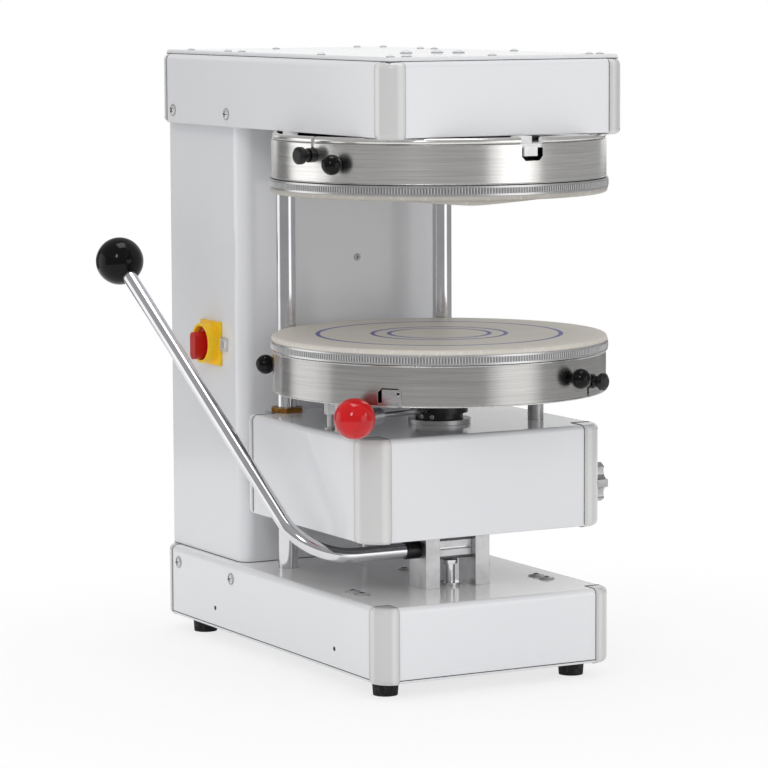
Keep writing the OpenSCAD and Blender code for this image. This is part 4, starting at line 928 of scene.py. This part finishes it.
class PRESS_OT_fittings(PressOperator):
    """Finish the knobs, switch, collar, gland, belt and motor"""
    bl_idname = "press.fittings"
    bl_label = "Fittings"

    def execute(self, context):
        tint = colours()
        dress(gloss_ball_finish("Red ball", tint.ball_red, 0.08, 0.45), "red_ball")
        dress(moulded_finish("Black collar", tint.black, 0.2, 2200), "hub_collar", "lever_boss")
        dress(turned_finish("Star knob metal", 0.9, 0.2, 0.5), "star_knob")
        dress(moulded_finish("Gland plastic", tint.black, 0.38, 1500), "cable_gland", "switch_body")
        dress(moulded_finish("Switch knob plastic", tint.knob_red, 0.3, 1800), "switch_knob")
        dress(moulded_finish("Switch plate plastic", tint.switch_yellow, 0.32, 1600), "switch_plate")
        dress(clear_finish("Clear padlock tab"), "padlock_tab")
        dress(belt_finish("Drive belt", tint.rubber), "drive_belt")
        dress(motor_finish("Motor enamel"), "gear_motor")
        return {"FINISHED"}


class PRESS_OT_ribs(PressOperator):
    """Add the ribs of the knurled rings and of the cable gland"""
    bl_idname = "press.ribs"
    bl_label = "Ribs"

    def execute(self, context):
        size = sizes()
        metal = turned_finish("Knurl rib", 1.3, 0.24, 1.2)
        plastic = moulded_finish("Gland rib plastic", colours().black, 0.38, 1500)
        weave = ribs_weave()
        for side in ("upper", "lower"):
            ring = f"{side}_knurled_ring"
            weave.grow(mesh_object(f"{side}_knurl_ribs"), f"{side}_turning_plate", "machined", {
                "Count": size.rib_count, "Radius": extents(ring).side * MM - KNURL_SINK,
                "Width": size.rib_width, "Height": size.rib_height, "Depth": size.rib_proud,
                "Centre": (AXIS.x, AXIS.y, middle(ring).z), "Material": metal})
        gland = middle("cable_gland")
        nut = (gland.x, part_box("cable_gland")[1][1] - GLAND_NUT, gland.z)
        width, height, depth = GLAND_RIB
        weave.grow(mesh_object("gland_ribs"), "frame", "black", {
            "Count": size.gland_ribs, "Radius": GLAND_RADIUS - GLAND_SINK, "Width": width, "Height": height,
            "Depth": depth, "Centre": nut, "Turn": (math.pi / 2, 0, 0), "Material": plastic})
        return {"FINISHED"}


class PRESS_OT_screws(PressOperator):
    """Add the screws of the housings, drums and hub collar"""
    bl_idname = "press.screws"
    bl_label = "Screws"

    def execute(self, context):
        # The plated screws take the black oxide colour as painted shade on their cross and foot ring.
        plated = screw_finish("Plated screw", shade(colours().machined, 1.3), BLACK_OXIDE_AND_RECESS_SHADE)
        dark = screw_finish("Blackened screw", BLACK_OXIDE_AND_RECESS_SHADE)
        head, base = extents("head_shell"), extents("base_shell")
        up = (0, 0, 1)
        places = []
        for side in (-1, 1):
            for shell, rows in ((head, HEAD_SCREWS), (base, BASE_SCREWS)):
                places += [((side * shell.side, y, z), (side, 0, 0), SIDE_HEAD) for y, z in rows]
        x, z = COLUMN_SCREW
        places.append(((x, extents("column_cover").front, z), (0, -1, 0), COLUMN_HEAD))
        places.append(((*DECK_SCREW, base.top), up, SIDE_HEAD))
        back = extents("column_back_panel").back
        places += [((x, back, z), (0, 1, 0), PANEL_HEAD) for x, z in BACK_SCREWS]
        buttons = [((x, y, base.top), up, BUTTON_HEAD) for x, y in DECK_BUTTONS]
        screw_set("deck_screws", buttons, "frame", "steel", plated, height=0.2, recess=0.3, arm=0.25)
        screw_set("housing_screws", places, "frame", "steel", plated)
        holes = [((side * base.side, y, z), (side, 0, 0), GRUB_HEAD)
                 for side in (-1, 1) for y, z in GRUB_SCREWS]
        screw_set("base_grub_screws", holes, "frame", "black", dark, height=0.12, recess=0.5, arm=0.3)
        reach = extents("lower_skirt").side - WINDOW_SCREW_INSET
        tab = round_screw(WINDOW_SCREW_TURN, reach, WINDOW_SCREW_HEIGHT, WINDOW_HEAD)
        socket = screw_finish("Socket screw", shade(colours().machined, 1.1))
        screw_set("lower_window_screws", [tab], "carriage", "steel", socket, recess=0.5, arm=0.4)
        neck, height = sizes().collar_neck / MM, extents("hub_collar").foot + COLLAR_SCREW_LIFT
        places = [round_screw(turn, neck, height, COLLAR_HEAD) for turn in COLLAR_SCREW_TURNS]
        screw_set("collar_set_screws", places, "thickness_lever", "steel", plated, height=0.16, recess=0.4,
                  arm=0.3)
        return {"FINISHED"}


class PRESS_OT_lid_caps(PressOperator):
    """Add the painted screw caps of the head's lid"""
    bl_idname = "press.lid_caps"
    bl_label = "Lid caps"

    def execute(self, context):
        lid = extents("head_lid").top
        places = [((x, y, lid), (0, 0, 1), wide) for x, y, wide in LID_CAPS]
        screw_set("lid_caps", places, "frame", "panel", cap_finish("Painted cap", colours().enamel),
                  height=0.3, recess=0.1, arm=0.1, rim=0.45)
        return {"FINISHED"}


class PRESS_OT_hems(PressOperator):
    """Add the rolled edges of the two skirts and the upper one's shoulder"""
    bl_idname = "press.hems"
    bl_label = "Skirt hems"

    def execute(self, context):
        bright = hem_finish("Rolled hem", colours().steel)
        # Painted light: the shoulder is an even lighter copy of the brushed steel.
        smooth = brushed_drum_finish("Brushed shoulder", 1.5)
        bead, round_edge = sizes().hem_radius, sizes().shoulder_radius
        lift, rise = bead / MM, round_edge / MM
        upper, lower = extents("upper_skirt"), extents("lower_skirt")
        radius = upper.side - HEM_INSET
        bead_run("upper_hem", [round_the_drum(radius, upper.foot + lift)], bead, bright, "frame", "brushed")
        rims = [round_the_drum(radius, lower.top - lift), *broken_ring(radius, lower.foot + lift, LOWER_GAPS)]
        bead_run("lower_hems", rims, bead, bright, "carriage", "brushed")
        shoulder = broken_ring(radius - rise, upper.top + rise - SHOULDER_SINK, UPPER_GAPS)
        bead_run("upper_shoulder", shoulder, round_edge, smooth, "frame", "brushed")
        return {"FINISHED"}


class PRESS_OT_joint_lines(PressOperator):
    """Add the sealing lines beside the corner trims"""
    bl_idname = "press.joint_lines"
    bl_label = "Joint lines"

    def execute(self, context):
        rubber = joint_finish("Joint line", colours().joint)
        trim_r, carriage_r = sizes().trim_radius / MM, sizes().carriage_trim_radius / MM
        for part, trim, body, over in (
                ("head", trim_r, "frame", False), ("base", trim_r, "frame", True),
                ("carriage", carriage_r, "carriage", True)):
            shell = extents(f"{part}_shell")
            foot, spring = shell.foot + JOINT_FOOT, shell.top - SHEET_BEND
            mid, deep = (shell.front + shell.back) / 2, (shell.back - shell.front) / 2
            bend = quarter_bend(SHEET_BEND)
            paths = []
            for sx, sy in ((-1, -1), (-1, 1), (1, -1), (1, 1)):
                inner_x, inner_y = sx * (shell.side - trim), mid + sy * (deep - trim)
                rise = [(inner_x, mid + sy * deep, foot)]
                rise += [(inner_x, mid + sy * (deep - inset), spring + lift) for inset, lift in bend]
                fall = [(sx * (shell.side - inset), inner_y, spring + lift) for inset, lift in reversed(bend)]
                fall.append((sx * shell.side, inner_y, foot))
                paths += [rise + [(inner_x, inner_y, shell.top)] + fall] if over else [rise[:5], fall[3:]]
            bead_run(f"{part}_joint_lines", paths, sizes().joint_radius, rubber, body, "rubber")
        return {"FINISHED"}


class PRESS_OT_seams(PressOperator):
    """Add the dark seams at the lid, the column and the foot of the base"""
    bl_idname = "press.seams"
    bl_label = "Seams"

    def execute(self, context):
        lid, column, base = (extents(node) for node in ("head_lid", "column_cover", "base_shell"))
        corners = [(x * lid.side, y) for x, y in (
            (-1, lid.front), (1, lid.front), (1, lid.back), (-1, lid.back), (-1, lid.front))]
        paths = [[(x, y, lid.foot + SEAM_INSET) for x, y in corners]]
        for z in (column.foot + SEAM_INSET, column.top - SEAM_INSET):
            left = [(-column.side, column.back, z)]
            left += [(-column.side + inset, column.front + COLUMN_BEND - lift, z)
                     for inset, lift in quarter_bend(COLUMN_BEND)]
            paths.append(left + [(-x, y, z) for x, y, z in reversed(left)])
        trim = sizes().trim_radius / MM + SEAM_TRIM_GAP
        foot = base.foot + SEAM_FOOT
        paths += [[(trim - base.side, y, foot), (base.side - trim, y, foot)] for y in (base.front, base.back)]
        paths += [[(x, base.front + trim, foot), (x, base.back - trim, foot)] for x in (-base.side, base.side)]
        bead_run("housing_seams", paths, SEAM_RADIUS, joint_finish("Dark seam", shade(colours().joint, 0.35)),
                 "frame", "rubber")
        return {"FINISHED"}


def light(name, place, aim, size, power):
    """Soft square lamp that looks at a point; both points lie from the plate axis and the floor, in metres."""
    start, target = (Vector((AXIS.x + x, AXIS.y + y, z)) for x, y, z in (place, aim))
    lamp = bpy.data.lights.new(name, "AREA")
    lamp.shape = "RECTANGLE"
    lamp.size, lamp.size_y = size
    lamp.energy = power
    lamp.color = (1.0, 0.992, 0.98)
    carrier = bpy.data.objects.new(name, lamp)
    carrier.location = start
    carrier.rotation_euler = (target - start).to_track_quat("-Z", "Y").to_euler()
    bpy.context.scene.collection.objects.link(carrier)
    return carrier


def card(name, start, end, low, high, radius, grey, lean=0.0):
    """Curved card about the press that only glossy rays see."""
    steps = max(2, int((end - start) / 4))
    points, faces = [], []
    for i in range(steps + 1):
        turn = math.radians(start + (end - start) * i / steps)
        for z, reach in ((low, radius), (high, radius - lean)):
            points.append((AXIS.x + reach * math.sin(turn), AXIS.y - reach * math.cos(turn), z))
        if i:
            k = 2 * i
            faces.append((k - 2, k, k + 1, k - 1))
    piece = mesh_object(name, points, faces=faces)
    material = new_material(name)
    graph = Graph(material.node_tree)
    graph.close("ShaderNodeOutputMaterial", graph.add(
        "ShaderNodeEmission", {"Color": (grey, grey, grey, 1)}))
    piece.data.materials.append(material)
    for ray in ("camera", "diffuse", "shadow", "transmission"):
        setattr(piece, f"visible_{ray}", False)


def floor_material():
    """Pale floor that keeps the shadow near the press and runs out into the white backdrop."""
    bench = Bench("Studio floor")
    x, y, _ = bench.parts(bench.centred(AXIS))
    far = (x * x + y * y) ** 0.5
    grain = bench.noise(40, 2)
    bench.set(base_color=bench.tint(grain, (0.93, 0.93, 0.93), (0.94, 0.94, 0.94)), roughness=0.9,
              specular_ior_level=0.1)
    glow = bench.add("ShaderNodeEmission", {"Color": WHITE, "Strength": 1.0})
    mixed = bench.add("ShaderNodeMixShader", {
        0: bench.ramp(far, 0.3, 0.8, 0.74) * bench.seen(), 1: Wire(bench, bench.surface.outputs[0]), 2: glow})
    bench.feed(bench.out.inputs["Surface"], mixed)
    return bench.material


class PRESS_OT_studio(PressOperator):
    """Set the floor, backdrop, lamps and camera"""
    bl_idname = "press.studio"
    bl_label = "Studio"

    def execute(self, context):
        scene = context.scene
        studio = scene.press_studio
        scene.view_settings.view_transform = "Standard"
        corners = [(x * FLOOR_HALF, y * FLOOR_HALF, 0) for x, y in ((-1, -1), (1, -1), (1, 1), (-1, 1))]
        floor = mesh_object("studio_floor", corners, faces=[(0, 1, 2, 3)])
        floor.data.materials.append(floor_material())

        world = bpy.data.worlds.new("Studio")
        scene.world = world
        world.use_nodes = True
        sky = Graph(world.node_tree)
        soft, white = (sky.add("ShaderNodeBackground", {"Color": WHITE, "Strength": strength})
                       for strength in (studio.sky, 1))
        mixed = sky.add("ShaderNodeMixShader", {0: sky.seen(), 1: soft, 2: white})
        sky.close("ShaderNodeOutputWorld", mixed)

        aim = (0, 0.05, 0.3)
        light("key_light", (-2.3, -2.2, 2.2), aim, (0.6, 0.9), studio.key)
        light("fill_light", (2.0, -2.4, 1.5), aim, (0.5, 0.8), studio.fill)
        light("top_light", (0, 0.1, 2.7), aim, (1.2, 1.2), studio.top)
        low_light = light("low_light", (-0.5, -1.4, 0.24), (0, 0, 0.1), (1.6, 0.3), studio.low)
        low_light.visible_glossy = False
        for name, start, end, grey in CARDS:
            card(name, start, end, *CARD_PLACE, grey)
        card("back_card", 112, 190, -0.2, 0.4, 2.4, 0.22)
        card("canopy", -180, 180, 1.5, 4.2, 4.4, 0.42, lean=3.4)

        lens = bpy.data.cameras.new("photo_camera")
        lens.sensor_width = SENSOR_WIDTH
        lens.lens = studio.lens
        lens.clip_end = VIEW_LIMIT
        camera = bpy.data.objects.new("photo_camera", lens)
        yaw, pitch, roll = studio.yaw, studio.pitch, studio.roll
        ahead = Vector((math.sin(yaw) * math.cos(pitch), math.cos(yaw) * math.cos(pitch), -math.sin(pitch)))
        level = Vector((math.cos(yaw), -math.sin(yaw), 0))
        right = level * math.cos(roll) + level.cross(ahead) * math.sin(roll)
        turn = Matrix((right, right.cross(ahead), -ahead)).transposed().to_4x4()
        camera.matrix_world = Matrix.Translation(studio.camera) @ turn
        scene.collection.objects.link(camera)
        scene.camera = camera
        return {"FINISHED"}


GROUPS = {"press_colours": PressColours, "press_sizes": PressSizes, "press_studio": PressStudio}
OPERATORS = (
    PRESS_OT_studio, PRESS_OT_housings, PRESS_OT_drums, PRESS_OT_metalwork, PRESS_OT_fittings,
    PRESS_OT_ribs, PRESS_OT_screws, PRESS_OT_lid_caps, PRESS_OT_hems, PRESS_OT_joint_lines, PRESS_OT_seams)


class PRESS_PT_sidebar(bpy.types.Panel):
    """Values and steps of the dough press"""
    bl_idname = "PRESS_PT_sidebar"
    bl_label = "Dough press"
    bl_space_type = "VIEW_3D"
    bl_region_type = "UI"
    bl_category = "Dough press"

    def draw(self, context):
        layout = self.layout
        for name in GROUPS:
            group = getattr(context.scene, name)
            box = layout.box()
            for prop in group.bl_rna.properties:
                if not prop.is_readonly and prop.identifier != "name":
                    box.prop(group, prop.identifier)
        for operator in OPERATORS:
            layout.operator(operator.bl_idname)


CLASSES = (*GROUPS.values(), *OPERATORS, PRESS_PT_sidebar)


def register():
    for item in CLASSES:
        bpy.utils.register_class(item)
    for name, group in GROUPS.items():
        setattr(bpy.types.Scene, name, PointerProperty(type=group))


def unregister():
    for name in GROUPS:
        delattr(bpy.types.Scene, name)
    for item in reversed(CLASSES):
        bpy.utils.unregister_class(item)


def main():
    register()
    for operator in OPERATORS:
        area, name = operator.bl_idname.split(".")
        getattr(getattr(bpy.ops, area), name)()


if __name__ == "__main__":
    main()
